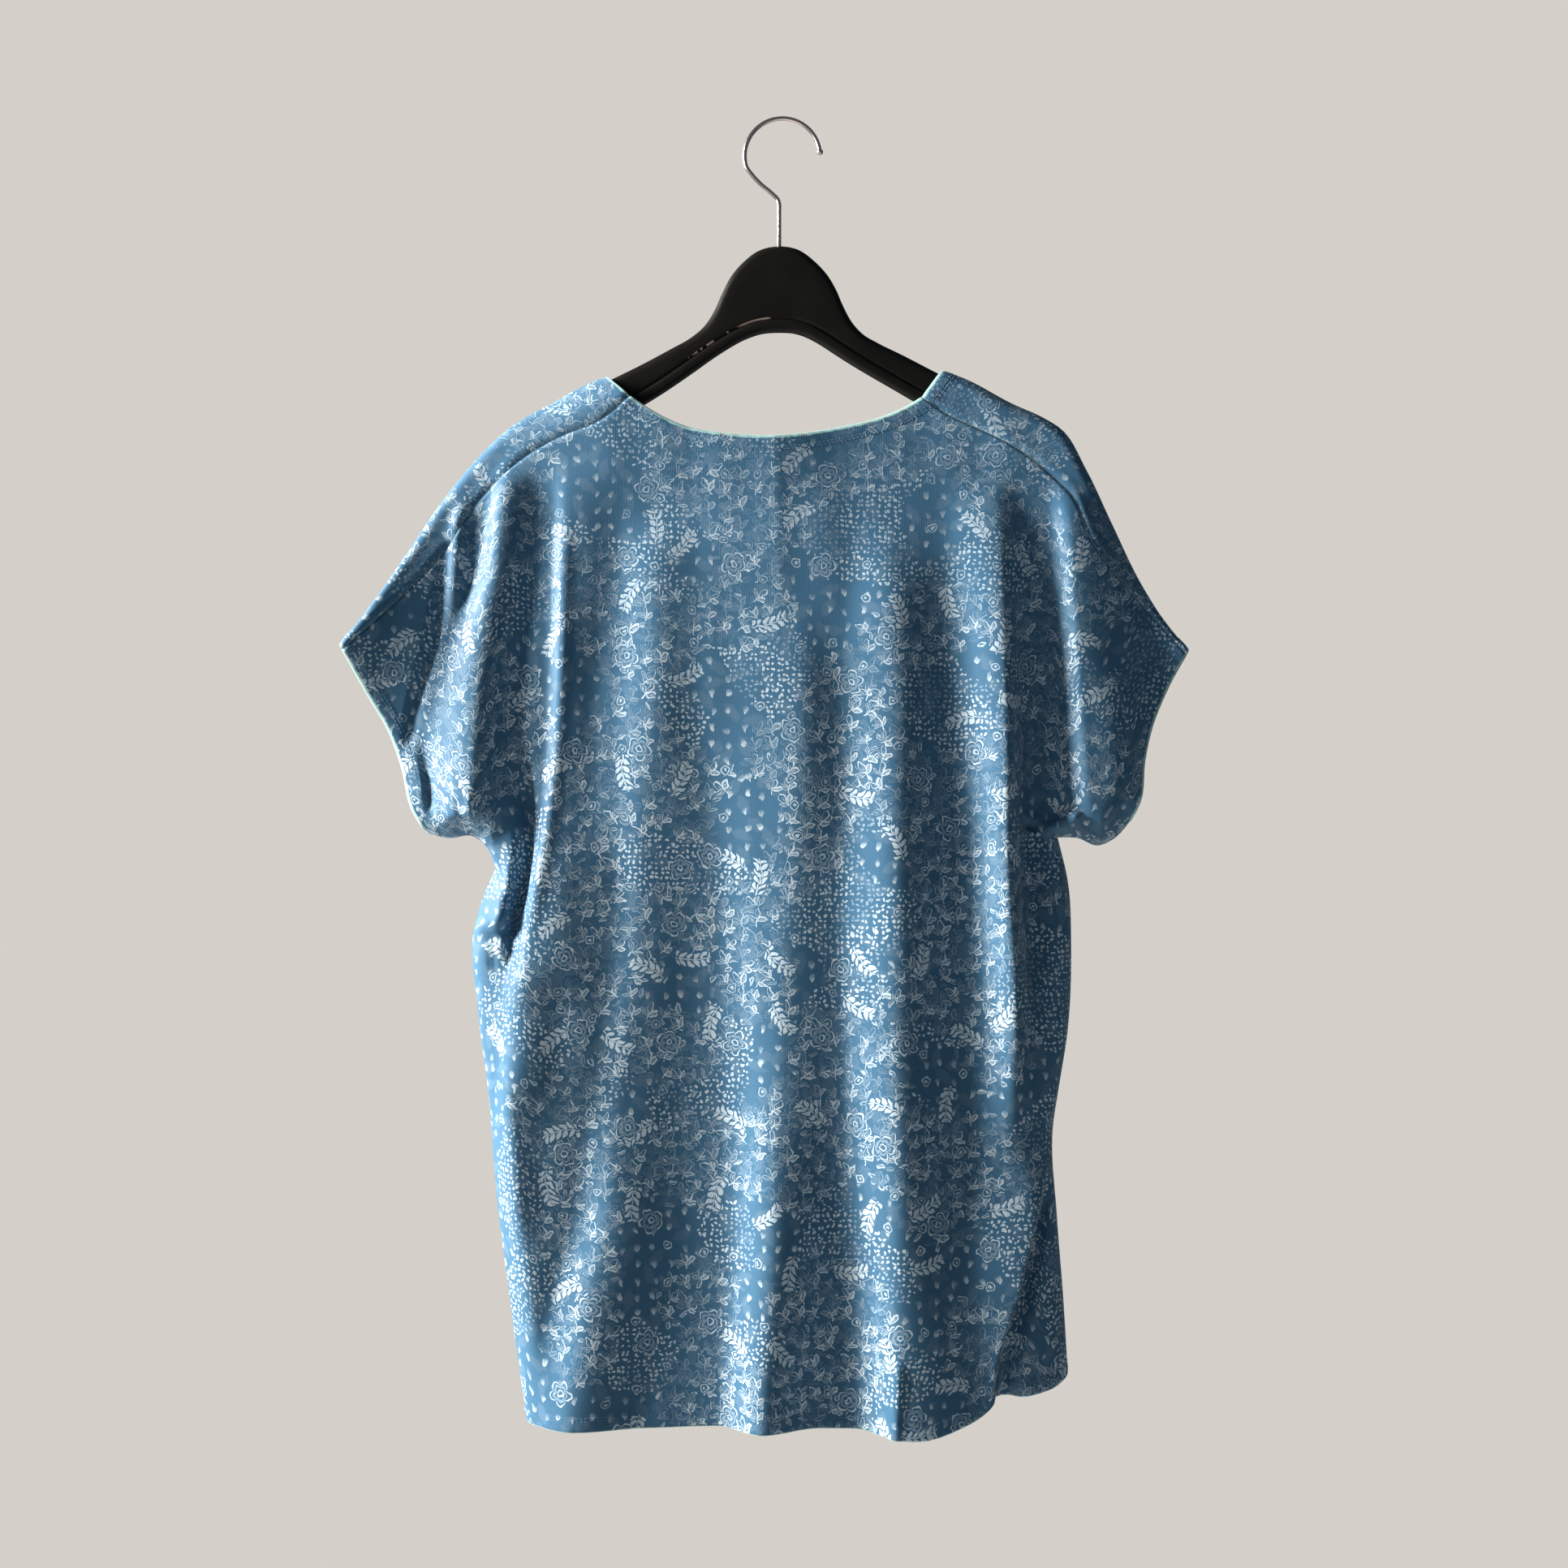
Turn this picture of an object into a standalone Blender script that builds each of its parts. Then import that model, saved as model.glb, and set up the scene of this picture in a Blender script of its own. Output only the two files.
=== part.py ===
"""Loose kimono-cut jersey T-shirt on a flat hanger, seen from the garment's back along +Y.

Sizes and tables are in millimetres, and the meshes are made in metres. X runs to the right, Z up and
+Y to the garment's front. The origin is the underside of the hook's top, where the hanger is hung.
"""

import math

import bpy
import numpy as np

MM = 0.001

# Cloth
CLOTH_THICKNESS = 1.2
HEM_THICKNESS = 1.6
HEM_WIDTH = 11.5
SEAM_GAP = 0.4
SHOULDER_RADIUS = 8.4
CUFF_TIP_RADIUS = 4.6
HANGER_REACH = 210.0
CUFF_REACH = 321.5
SEAM_END_BELOW_TIP = 4.5

# Swell of each side away from the hanger's plane: how far it grows, where it starts below the shoulder,
# and over what length
BACK_SWELL = 13.0
FRONT_SWELL = 10.0
SWELL_START = 8.0
SWELL_LENGTH = 260.0

# Roundings where front and back meet: depth, radius and the slope that carries on from it
SIDE_ROUNDING = (15.0, 22.0, 0.30)
SLEEVE_ROUNDING = (9.0, 10.0, 0.30)
FOLD_FADE = 20.0
FLATTEST_SHARE = 0.5
HEM_REACH = 12.0

# Hanger and hook
ARM_HALF_THICKNESS = 6.0
ARM_TOP_ROUND = 6.0
ARM_BOTTOM_ROUND = 2.5
TIP_ROUND_SHARE = 0.6
TIP_FOOT_SHARE = 0.3
WIRE_RADIUS = 1.55
HOOK_RADIUS = 27.9
HOOK_OPEN_END = 10.0
HOOK_ARC_END = 194.0
STEM_X = -2.4
STEM_DEPTH = 18.0
HUMP_TOP = -93.2
BALL_RADIUS = 2.3
BALL_PROFILE = ((0.10, 0.72), (0.35, 0.94), (0.75, 1.0), (1.2, 0.88), (1.55, 0.6), (1.7, 0.25))
BORE_CLEARANCE = 0.3
CUTTER_ABOVE = 20.0

# Mesh steps
SLEEVE_COLUMNS = 10
SHOULDER_COLUMNS = 11
NECK_COLUMNS = 24
EDGE_STEPS = (0.0, 2.0, 6.0, 12.0, 20.0)
NECK_STEPS = (0.0, 1.0, 3.5, 7.0, 11.0)
LEAN_REACH = (90.0, 199.0)
LEAN_OFFSET = 18.0
LEAN_START = -560.0
LEAN_LENGTH = 200.0
WRAP_ROWS = (0.0, 0.035, 0.13, 0.30, 0.62, 1.0)
BACK_ROWS = (0.0, 0.03, 0.09, 0.16, 0.25, 0.35, 0.46, 0.57, 0.68, 0.79, 0.89, 0.945, 0.98, 1.0)
FRONT_ROWS = (0.0, 0.004, 0.014, 0.030) + BACK_ROWS[2:]
LOWER_ROWS = (0.0, 0.05, 0.14, 0.26, 0.39, 0.52, 0.65, 0.78, 0.89, 0.973, 1.0)

# Outlines as (x, z). Each shoulder and seam runs from the neck to the cuff, each cuff from its tip down,
# each sleeve underside from the cuff to the underarm, and each side from the underarm to the hem.
SHOULDER_LEFT = ((-130, -189.8), (-145, -195.5), (-165.5, -206.5), (-204, -229.3), (-228.5, -253.3),
                 (-252.5, -284), (-276.5, -322.5), (-305.5, -367.5), (-321.5, -388.5))
SHOULDER_RIGHT = ((118.5, -184.8), (134.5, -190.7), (169.5, -209.2), (193, -219.8), (206, -228),
                  (224.5, -258), (243.5, -298), (266.5, -345), (290.5, -380.5), (300, -391))
SEAM_LEFT = ((-112, -206.5), (-132, -223.5), (-162, -235.5), (-186, -248), (-204, -262), (-226, -285.5),
             (-245, -315), (-277, -352))
SEAM_RIGHT = ((103, -206), (121, -218), (145, -229), (167, -240), (193, -259), (214, -280.5),
              (224, -307), (246, -337), (270, -364))
CUFF_LEFT = ((-321.5, -388.5), (-302.5, -426), (-288, -453), (-279, -480), (-272.5, -508), (-262, -526.5))
CUFF_RIGHT = ((300, -391), (283.5, -421), (271.5, -449), (265.5, -474), (263, -500), (256, -519))
UNDER_LEFT = ((-262, -526.5), (-247, -530.5), (-229, -529), (-217, -539.5), (-212, -553))
UNDER_RIGHT = ((256, -519), (245, -531), (233, -536), (218, -530.5), (203.5, -530))
SIDE_LEFT = ((-212, -553), (-222, -577), (-228.5, -602), (-225.5, -654), (-217, -721), (-211, -797),
             (-202, -866), (-194.5, -922), (-189, -960))
SIDE_RIGHT = ((203.5, -530), (211, -562), (213.5, -611), (211, -672), (204, -717), (200, -744), (203, -810),
              (207.5, -868), (211, -925))
NECK_BACK = ((-112, -206.5), (-93, -219), (-71, -229), (-43, -234), (-14, -236), (14, -234), (45, -228.5),
             (72, -221.5), (91, -213.5), (103, -206))
NECK_FRONT = ((-130, -189.8), (-121, -222), (-102, -252), (-66, -277), (-5, -287), (56, -277), (92, -251),
              (111, -220), (118.5, -184.8))
HEM_BACK = ((-189, -960), (-110, -960), (-20, -959.5), (60, -960), (118, -961), (145, -953), (165, -943.5),
            (190, -936), (211, -925))
HEM_FRONT = ((-189, -960), (-110, -957), (0, -955), (110, -954), (175, -942), (211, -925))

# Folds, one table each. A ridge runs down the rows; its rise is the width of the flank towards -X, its
# fall that towards +X, and its height is how far it stands out of the panel. Below zero it is a furrow.
FOLD_COLUMNS = ("z", "x", "rise", "fall", "height")
BACK_FOLDS = {
    "left_sleeve_outer": ((-270, -236, 8, 9, 0), (-300, -238, 8, 10, 4), (-340, -241, 9, 11, 4),
                          (-390, -243, 12, 12, 0)),
    "left_sleeve_inner": ((-250, -200, 12, 24, 0), (-278, -204, 13, 28, 7), (-335, -210, 18, 32, 10),
                          (-370, -218, 24, 34, 11), (-420, -224, 36, 32, 13), (-480, -227, 42, 30, 14),
                          (-532, -228, 36, 24, 0)),
    "left_yoke": ((-178, -122, 108, 200, 5), (-215, -122, 108, 200, 8), (-260, -126, 100, 190, 5),
                  (-305, -130, 90, 180, 0)),
    "left_main": ((-236, -157, 14, 50, 0), (-270, -159, 14, 58, 7), (-380, -161, 14, 64, 11),
                  (-440, -165, 14, 66, 13), (-500, -170, 14, 68, 14), (-560, -176, 12, 70, 14),
                  (-610, -182, 12, 76, 9), (-665, -188, 14, 80, 0)),
    "left_crease": ((-460, -190, 16, 9, 0), (-520, -192, 18, 10, -8), (-585, -194, 18, 10, -9),
                    (-625, -198, 16, 12, 0)),
    "left_edge": ((-600, -190, 24, 24, 0), (-640, -187, 28, 32, 4), (-690, -190, 28, 38, 6),
                  (-751, -201, 18, 46, 7), (-850, -190, 16, 38, 7), (-925, -184, 14, 24, 3),
                  (-962, -180, 14, 20, 0)),
    "left_second": ((-285, -95, 26, 44, 0), (-400, -95, 26, 52, 4), (-510, -101, 26, 58, 5),
                    (-600, -106, 30, 60, 6), (-680, -112, 42, 62, 8), (-740, -117, 40, 62, 9),
                    (-810, -127, 34, 60, 11), (-880, -141, 34, 58, 12), (-962, -153, 34, 54, 12)),
    "centre": ((-345, 10, 56, 30, 0), (-430, 12, 58, 34, 4), (-511, 11, 54, 36, 7), (-571, 7, 46, 40, 9),
               (-631, 2, 38, 44, 12), (-691, 0, 36, 48, 14), (-751, -4, 33, 50, 16),
               (-811, -6, 33, 50, 17), (-871, -10, 34, 48, 18), (-962, -14, 34, 42, 20)),
    "right_centre": ((-285, 76, 26, 34, 0), (-360, 76, 26, 40, 5), (-450, 76, 25, 44, 8),
                     (-570, 78, 24, 46, 10), (-650, 80, 25, 48, 12), (-850, 82, 26, 62, 17),
                     (-962, 81, 27, 72, 22)),
    "underarm_right": ((-240, 146, 30, 14, 0), (-300, 153, 32, 14, 8), (-420, 161, 31, 13, 14),
                       (-560, 165, 29, 13, 17), (-661, 170, 28, 14, 15), (-720, 169, 28, 18, 9),
                       (-790, 165, 30, 24, 0)),
    "right_furrow": ((-330, 183, 14, 16, 0), (-430, 184, 14, 16, -6), (-520, 185, 14, 16, -8),
                     (-610, 186, 14, 16, -8), (-700, 192, 14, 14, 0)),
    "right_sleeve": ((-262, 208, 14, 30, 0), (-300, 211, 16, 48, 7), (-400, 216, 18, 76, 10),
                     (-460, 218, 20, 80, 9), (-510, 219, 20, 70, 6), (-530, 219, 20, 60, 0)),
    "right_sleeve_lower": ((-390, 243, 22, 30, 0), (-440, 243, 22, 28, 4), (-490, 242, 20, 22, 5),
                           (-528, 240, 18, 20, 0)),
    "lower_right": ((-735, 196, 60, 12, 0), (-780, 189, 70, 12, 7), (-850, 173, 84, 12, 10),
                    (-925, 153, 80, 13, 13), (-962, 144, 74, 13, 13)),
}
FRONT_FOLDS = {
    "left_sleeve": ((-262, -214, 36, 18, 0), (-320, -220, 50, 18, 8), (-420, -224, 50, 22, 13),
                    (-520, -226, 30, 20, 0)),
    "left_armpit": ((-255, -160, 12, 40, 0), (-330, -164, 10, 44, 8), (-560, -168, 10, 46, 14),
                    (-680, -178, 16, 42, 0)),
    "left_hang": ((-540, -108, 40, 34, 0), (-740, -112, 42, 34, 8), (-962, -118, 44, 30, 14)),
    "centre_left": ((-400, -46, 40, 30, 0), (-640, -44, 42, 30, 8), (-962, -40, 46, 28, 15)),
    "centre_right": ((-360, 36, 34, 40, 0), (-600, 38, 32, 44, 7), (-962, 34, 34, 48, 16)),
    "right_hang": ((-500, 104, 30, 40, 0), (-740, 108, 30, 40, 9), (-962, 110, 32, 36, 13)),
    "right_armpit": ((-250, 150, 44, 14, 0), (-330, 156, 46, 11, 7), (-540, 160, 46, 11, 13),
                     (-660, 168, 42, 16, 0)),
    "right_edge": ((-700, 186, 20, 24, 0), (-820, 184, 20, 22, 6), (-962, 188, 18, 16, 6)),
    "right_sleeve": ((-262, 214, 18, 40, 0), (-330, 220, 18, 50, 8), (-430, 222, 20, 44, 11),
                     (-520, 216, 18, 30, 0)),
}

# Bends of both layers towards -Y: the middle's x and z, the reach along each, and how far it goes
SLEEVE_BENDS = ((-350, -360, 130, 150, 30),)

# Hanger: sections from the left tip to the right one. The columns are the x and z of a point of its top
# edge, then those of the point of its bottom edge across from it.
ARM_SECTIONS = (
    (-212.5, -243.5, -210.5, -250.5),
    (-204, -232.6, -199, -253),
    (-175, -216, -165, -240.5),
    (-150, -202.8, -138, -228.5),
    (-128, -192.4, -114, -216.5),
    (-102.3, -179.7, -88, -201),
    (-82.2, -168.9, -66, -186),
    (-67.4, -160.5, -51, -175.3),
    (-57.6, -152, -40, -168.2),
    (-50.6, -141.3, -30.5, -162.8),
    (-44.8, -128.5, -23, -159.6),
    (-38, -115.5, -17, -157.7),
    (-28.6, -104.6, -12, -156.8),
    (-17, -96.2, -7, -156.4),
    (-3, HUMP_TOP, -1.3, -156.3),
    (12, -95.8, 6, -156.6),
    (24, -104.4, 11, -157.6),
    (33, -114, 16, -159.2),
    (39.4, -124.5, 22, -162),
    (44.6, -136.4, 29.9, -166.6),
    (51, -148.5, 39, -172.6),
    (59.4, -157.9, 50, -179.6),
    (70.2, -164.4, 63, -187.4),
    (88.7, -173.5, 80, -197.2),
    (116, -187.6, 105, -211.4),
    (134, -196.2, 128, -222.4),
    (150, -204.2, 150, -231.6),
    (170, -213.6, 170, -239.4),
    (196, -227.2, 194, -247.6),
    (204.5, -238.5, 203, -245.5),
)

# The wire's bend between its stem and its round part
HOOK_NECK = ((-2.4, -62), (-3.2, -59), (-8.2, -53.6), (-15.2, -47.8), (-22.4, -40.2))


def curve_through(at, knots, values, slopes):
    """Cubic curve at the given places, through values at knots with the given slopes."""
    span = np.clip(np.searchsorted(knots, at, side="right") - 1, 0, len(knots) - 2)
    length = knots[span + 1] - knots[span]
    t = np.clip((at - knots[span]) / length, 0.0, 1.0)
    shape = at.shape + (1,) * (values.ndim - 1)
    t, length = t.reshape(shape), length.reshape(shape)
    return ((2 * t ** 3 - 3 * t ** 2 + 1) * values[span]
            + (t ** 3 - 2 * t ** 2 + t) * length * slopes[span]
            + (3 * t ** 2 - 2 * t ** 3) * values[span + 1]
            + (t ** 3 - t ** 2) * length * slopes[span + 1])


def smooth_line(points, steps=10):
    """A dense line through the points, rounded between them."""
    points = np.array(points, float)
    length = lengths_along(points)
    slopes = np.gradient(points, length, axis=0)
    at = np.concatenate([np.linspace(a, b, steps, endpoint=False) for a, b in zip(length, length[1:])]
                        + [length[-1:]])
    return curve_through(at, length, points, slopes)


def lengths_along(line):
    return np.concatenate([[0.0], np.cumsum(np.linalg.norm(np.diff(line, axis=0), axis=1))])


def at_lengths(line, lengths):
    along = lengths_along(line)
    return np.stack([np.interp(lengths, along, line[:, k]) for k in range(line.shape[1])], axis=1)


def at_shares(line, shares):
    """Points at shares of the line's length, from 0 to 1."""
    return at_lengths(line, np.asarray(shares) * lengths_along(line)[-1])


def cut_line(line, start, end):
    """The stretch of a line between two shares of its length."""
    return at_shares(line, np.linspace(start, end, 60))


def share_at_x(line, x):
    """The share of the line's length at which it first reaches x."""
    along = lengths_along(line)
    order = np.argsort(line[:, 0])
    return float(np.interp(x, line[order, 0], along[order]) / along[-1])


def eased(z, knots, values):
    """Values eased between the rows of a table that runs down from its first row, without overshoot."""
    knots, values = -np.array(knots, float), np.array(values, float)
    step = np.diff(values) / np.diff(knots)
    slopes = np.zeros(len(values))
    both = step[:-1] * step[1:]
    slopes[1:-1] = np.where(both > 0, 2 * both / np.where(both > 0, step[:-1] + step[1:], 1), 0)
    return curve_through(-z, knots, values, slopes)


def soft_step(t):
    t = np.clip(t, 0.0, 1.0)
    return t * t * (3 - 2 * t)


def distance_to(line, x, z):
    """Distance from each point to a line, in the X-Z plane."""
    start, run = line[:-1], np.diff(line, axis=0)
    from_start = np.stack([x, z], axis=-1)[:, None, :] - start
    t = np.clip((from_start * run).sum(-1) / (run * run).sum(-1), 0.0, 1.0)
    return np.linalg.norm(from_start - t[..., None] * run, axis=-1).min(axis=1)


def rounded(distance, radius):
    """Quarter circle: 0 at the edge, 1 at one radius from it and beyond."""
    t = np.clip(distance / radius, 0.0, 1.0)
    return np.sqrt(t * (2 - t))


def fold_heights(folds, x, z):
    """How far the folds stand out of a panel at each point."""
    total = np.zeros(len(x))
    for rows in folds.values():
        column = dict(zip(FOLD_COLUMNS, zip(*rows)))
        ridge, rise, fall, height = (eased(z, column["z"], column[name]) for name in FOLD_COLUMNS[1:])
        height = np.where((z > column["z"][0]) | (z < column["z"][-1] - HEM_REACH), 0.0, height)
        flank = np.where(x < ridge, rise, fall)
        total += height * soft_step(1 - np.abs(x - ridge) / flank)
    return total


def bend_at(x, z):
    """How far both layers are bent towards -Y at each point."""
    total = np.zeros(len(x))
    for middle_x, middle_z, reach_x, reach_z, amount in SLEEVE_BENDS:
        near = soft_step(1 - np.abs(x - middle_x) / reach_x) * soft_step(1 - np.abs(z - middle_z) / reach_z)
        total += amount * near
    return total


class Outline:
    """The garment's outline as dense lines, with the depth of a side at any point inside it."""

    def __init__(self):
        self.shoulder = [smooth_line(SHOULDER_LEFT), smooth_line(SHOULDER_RIGHT)]
        self.cuff = [smooth_line(CUFF_LEFT), smooth_line(CUFF_RIGHT)]
        self.under = [smooth_line(UNDER_LEFT), smooth_line(UNDER_RIGHT)]
        self.side = [smooth_line(SIDE_LEFT), smooth_line(SIDE_RIGHT)]
        self.neck_back, self.neck_front = smooth_line(NECK_BACK), smooth_line(NECK_FRONT)
        self.hem_back, self.hem_front = smooth_line(HEM_BACK), smooth_line(HEM_FRONT)
        self.seam = []
        for points, cuff in zip((SEAM_LEFT, SEAM_RIGHT), self.cuff):
            self.seam.append(smooth_line(list(points) + [at_lengths(cuff, [SEAM_END_BELOW_TIP])[0]]))

    def depth(self, x, z, swell, folds):
        """Distance of a side's outer face from the hanger's plane."""
        shoulder = np.minimum(*(distance_to(line, x, z) for line in self.shoulder))
        under = np.minimum(*(distance_to(line, x, z) for line in self.under))
        side = np.minimum(*(distance_to(line, x, z) for line in self.side))
        reach = soft_step((np.abs(x) - HANGER_REACH) / (CUFF_REACH - HANGER_REACH))
        radius = SHOULDER_RADIUS + (CUFF_TIP_RADIUS - SHOULDER_RADIUS) * reach
        below = soft_step((shoulder - SWELL_START) / SWELL_LENGTH)
        from_top = radius * rounded(shoulder, radius) + swell * below
        total = (np.maximum(from_top, 1e-6)) ** -4.0
        for distance, (deep, round_radius, slope) in ((side, SIDE_ROUNDING), (under, SLEEVE_ROUNDING)):
            closing = deep * rounded(distance, round_radius) + slope * distance
            total = total + np.maximum(closing, 1e-6) ** -4.0
        base = total ** -0.25
        edge = np.minimum(np.minimum(shoulder, under), side)
        base = np.where(edge < 1e-4, 0.0, base)
        shaped = base + fold_heights(folds, x, z) * soft_step(edge / FOLD_FADE)
        return np.maximum(shaped, FLATTEST_SHARE * base)


def filled_patch(top, bottom, left, right, across, down):
    """Points of a four-sided patch from its four edges, blended (Coons); rows run down."""
    u, v = np.asarray(across)[None, :, None], np.asarray(down)[:, None, None]
    corners = ((1 - u) * (1 - v) * top[0] + u * (1 - v) * top[-1]
               + (1 - u) * v * bottom[0] + u * v * bottom[-1])
    return (1 - v) * top[None] + v * bottom[None] + (1 - u) * left[:, None] + u * right[:, None] - corners


def shares_of(points):
    along = lengths_along(points)
    return along / along[-1]


def close_at_ends(width, steps, columns):
    """Column places from 0 to width, with the given steps at both ends and even ones between."""
    inner = np.linspace(steps[-1], width - steps[-1], columns - 2 * (len(steps) - 1) + 1)
    return np.concatenate([steps[:-1], inner, width - np.array(steps[:-1])[::-1]])


def body_places(width):
    return close_at_ends(width, EDGE_STEPS, 2 * SHOULDER_COLUMNS + NECK_COLUMNS)


def follow_fold(flat, rows):
    """Leans the columns near a slanting fold, so that one of them runs down its ridge."""
    column = dict(zip(FOLD_COLUMNS, zip(*rows)))
    x, z = flat[..., 0], flat[..., 1]
    first, last = LEAN_REACH
    middle = column["x"][-1] + LEAN_OFFSET
    lean = (eased(z, column["z"], column["x"]) - middle) * soft_step((LEAN_START - z) / LEAN_LENGTH)
    share = np.clip(np.minimum((x - first) / (middle - first), (last - x) / (last - middle)), 0, 1)
    flat[..., 0] = x + lean * share
    return flat


def level_row(left, right):
    """Points from the left underarm to the right one."""
    places = body_places(np.linalg.norm(right - left))
    return left + (right - left) * (places / places[-1])[:, None]


def hem_row(hem):
    places = hem[0, 0] + body_places(hem[-1, 0] - hem[0, 0])
    return np.stack([places, np.interp(places, hem[:, 0], hem[:, 1])], axis=1)


def top_row(edges, neck, reach):
    """Points from the left cuff over the shoulder, round the neck and out to the right cuff."""
    rows = []
    for side, line in enumerate(edges):
        bend = share_at_x(line, reach[side])
        outer = at_shares(line, 1 - np.linspace(0, 1, SLEEVE_COLUMNS + 1) * (1 - bend))
        inner = at_shares(line, bend * (1 - np.linspace(0, 1, SHOULDER_COLUMNS + 1)))
        rows.append(np.concatenate([outer[:-1], inner]))
    middle = at_lengths(neck, close_at_ends(lengths_along(neck)[-1], NECK_STEPS, NECK_COLUMNS))
    return np.concatenate([rows[0][:-1], middle, rows[1][::-1][1:]])


def cloth_blocks(shape):
    """The six patches of the garment as arrays of points, each with its panel and the way it faces."""
    underarm = [line[-1] for line in shape.under]
    reach = (underarm[0][0], underarm[1][0])
    level = level_row(*underarm)
    sleeve = [at_shares(line, np.linspace(0, 1, SLEEVE_COLUMNS + 1)) for line in shape.under]
    under_row = np.concatenate([sleeve[0][:-1], level, sleeve[1][::-1][1:]])

    def solid(flat, sign, swell, folds):
        points = flat.reshape(-1, 2)
        y = sign * shape.depth(points[:, 0], points[:, 1], swell, folds) - bend_at(points[:, 0], points[:, 1])
        return np.stack([points[:, 0], y, points[:, 1]], axis=1).reshape(flat.shape[:2] + (3,))

    def back(flat):
        return solid(flat, -1.0, BACK_SWELL, BACK_FOLDS)

    def front(flat):
        return solid(flat, 1.0, FRONT_SWELL, FRONT_FOLDS)

    def upper(edges, neck, rows, cuff_starts):
        top = top_row(edges, neck, reach)
        sides = []
        for cuff, start in zip(shape.cuff, cuff_starts):
            sides.append(at_shares(cut_line(cuff, start, 1.0), rows))
            sides[-1][0] = cut_line(cuff, start, 1.0)[0]
        top[0], top[-1] = sides[0][0], sides[1][0]
        across = (shares_of(under_row) + shares_of(top)) / 2
        return filled_patch(top, under_row, sides[0], sides[1], across, rows)

    def lower(hem, guide=None):
        bottom = hem_row(hem)
        sides = [at_shares(line, LOWER_ROWS) for line in shape.side]
        sides[0][-1], sides[1][-1] = bottom[0], bottom[-1]
        flat = filled_patch(level, bottom, sides[0], sides[1], shares_of(level), LOWER_ROWS)
        return follow_fold(flat, guide) if guide else flat

    starts = [SEAM_END_BELOW_TIP / lengths_along(cuff)[-1] for cuff in shape.cuff]
    back_upper = upper(shape.seam, shape.neck_back, BACK_ROWS, starts)
    front_upper = upper(shape.shoulder, shape.neck_front, FRONT_ROWS, (0.0, 0.0))
    count = SLEEVE_COLUMNS + SHOULDER_COLUMNS + 1
    wraps = []
    for part in (slice(0, count), slice(-count, None)):
        over, seam = front_upper[0, part], back_upper[0, part]
        share = np.array(WRAP_ROWS)[:, None, None]
        wraps.append(over[None] * (1 - share) + seam[None] * share)
    return [
        ("back", False, back(back_upper)),
        ("back", False, back(lower(shape.hem_back, BACK_FOLDS["lower_right"]))),
        ("front", False, back(wraps[0])),
        ("front", False, back(wraps[1])),
        ("front", True, front(front_upper)),
        ("front", True, front(lower(shape.hem_front))),
    ]


def weld(blocks):
    """One point list for all the patches, with the quads of each panel facing outwards."""
    points = np.concatenate([block.reshape(-1, 3) for _, _, block in blocks])
    _, first, index = np.unique(np.round(points, 3), axis=0, return_index=True, return_inverse=True)
    index = index.reshape(-1)
    quads = {"back": [], "front": []}
    start = 0
    for panel, turned, block in blocks:
        rows, columns = block.shape[:2]
        grid = index[start:start + rows * columns].reshape(rows, columns)
        start += rows * columns
        corners = [grid[:-1, :-1], grid[1:, :-1], grid[1:, 1:], grid[:-1, 1:]]
        if turned:
            corners.reverse()
        quads[panel].append(np.stack(corners, axis=-1).reshape(-1, 4))
    return points[first], {panel: np.concatenate(parts) for panel, parts in quads.items()}


def unit_rows(vectors):
    return vectors / np.maximum(np.linalg.norm(vectors, axis=1, keepdims=True), 1e-12)


def point_normals(points, quads):
    normals = np.zeros_like(points)
    across = np.cross(points[quads[:, 2]] - points[quads[:, 0]], points[quads[:, 3]] - points[quads[:, 1]])
    for corner in range(4):
        np.add.at(normals, quads[:, corner], across)
    return unit_rows(normals)


def border_of(quads):
    """Edges used once, as each quad runs along them."""
    ends = np.concatenate([quads[:, [k, (k + 1) % 4]] for k in range(4)])
    _, index, count = np.unique(np.sort(ends, axis=1), axis=0, return_inverse=True, return_counts=True)
    return ends[count[index.reshape(-1)] == 1]


def seam_shift(points, normals, quads, seam_edges):
    """Small moves that draw a panel back from its seams."""
    centres = points[quads].mean(axis=1)
    pull, tangent = np.zeros_like(points), np.zeros_like(points)
    for corner in range(4):
        np.add.at(pull, quads[:, corner], centres - points[quads[:, corner]])
    along = unit_rows(points[seam_edges[:, 1]] - points[seam_edges[:, 0]])
    for end in range(2):
        np.add.at(tangent, seam_edges[:, end], along)
    on_seam = np.unique(seam_edges)
    shift = np.zeros_like(points)
    for direction in (tangent, normals):
        unit = unit_rows(direction[on_seam])
        pull[on_seam] -= (pull[on_seam] * unit).sum(1, keepdims=True) * unit
    shift[on_seam] = unit_rows(pull[on_seam]) * SEAM_GAP / 2
    return shift


def panel_shell(points, normals, quads, border, seam_edges):
    """A closed wall: the outer face, the inner one behind it and the rim between them."""
    outer = points + seam_shift(points, normals, quads, seam_edges)
    open_points = points[np.unique(border[~edge_mask(border, seam_edges)])]
    thickness = np.full(len(points), CLOTH_THICKNESS)
    for k in np.unique(quads):
        if np.linalg.norm(open_points - points[k], axis=1).min() < HEM_WIDTH:
            thickness[k] = HEM_THICKNESS
    inner = outer - normals * thickness[:, None]
    used = np.unique(quads)
    number = np.full(len(points), -1)
    number[used] = np.arange(len(used))
    outside = number[quads]
    inside = outside[:, ::-1] + len(used)
    rim_a, rim_b = number[border[:, 0]], number[border[:, 1]]
    rim = np.stack([rim_b, rim_a, rim_a + len(used), rim_b + len(used)], axis=1)
    return np.concatenate([outer[used], inner[used]]), np.concatenate([outside, inside, rim]).tolist()


def edge_mask(edges, others):
    """Which edges are also among the others, whichever way they run."""
    known = {tuple(sorted(pair)) for pair in others.tolist()}
    return np.array([tuple(sorted(pair)) in known for pair in edges.tolist()])


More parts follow.
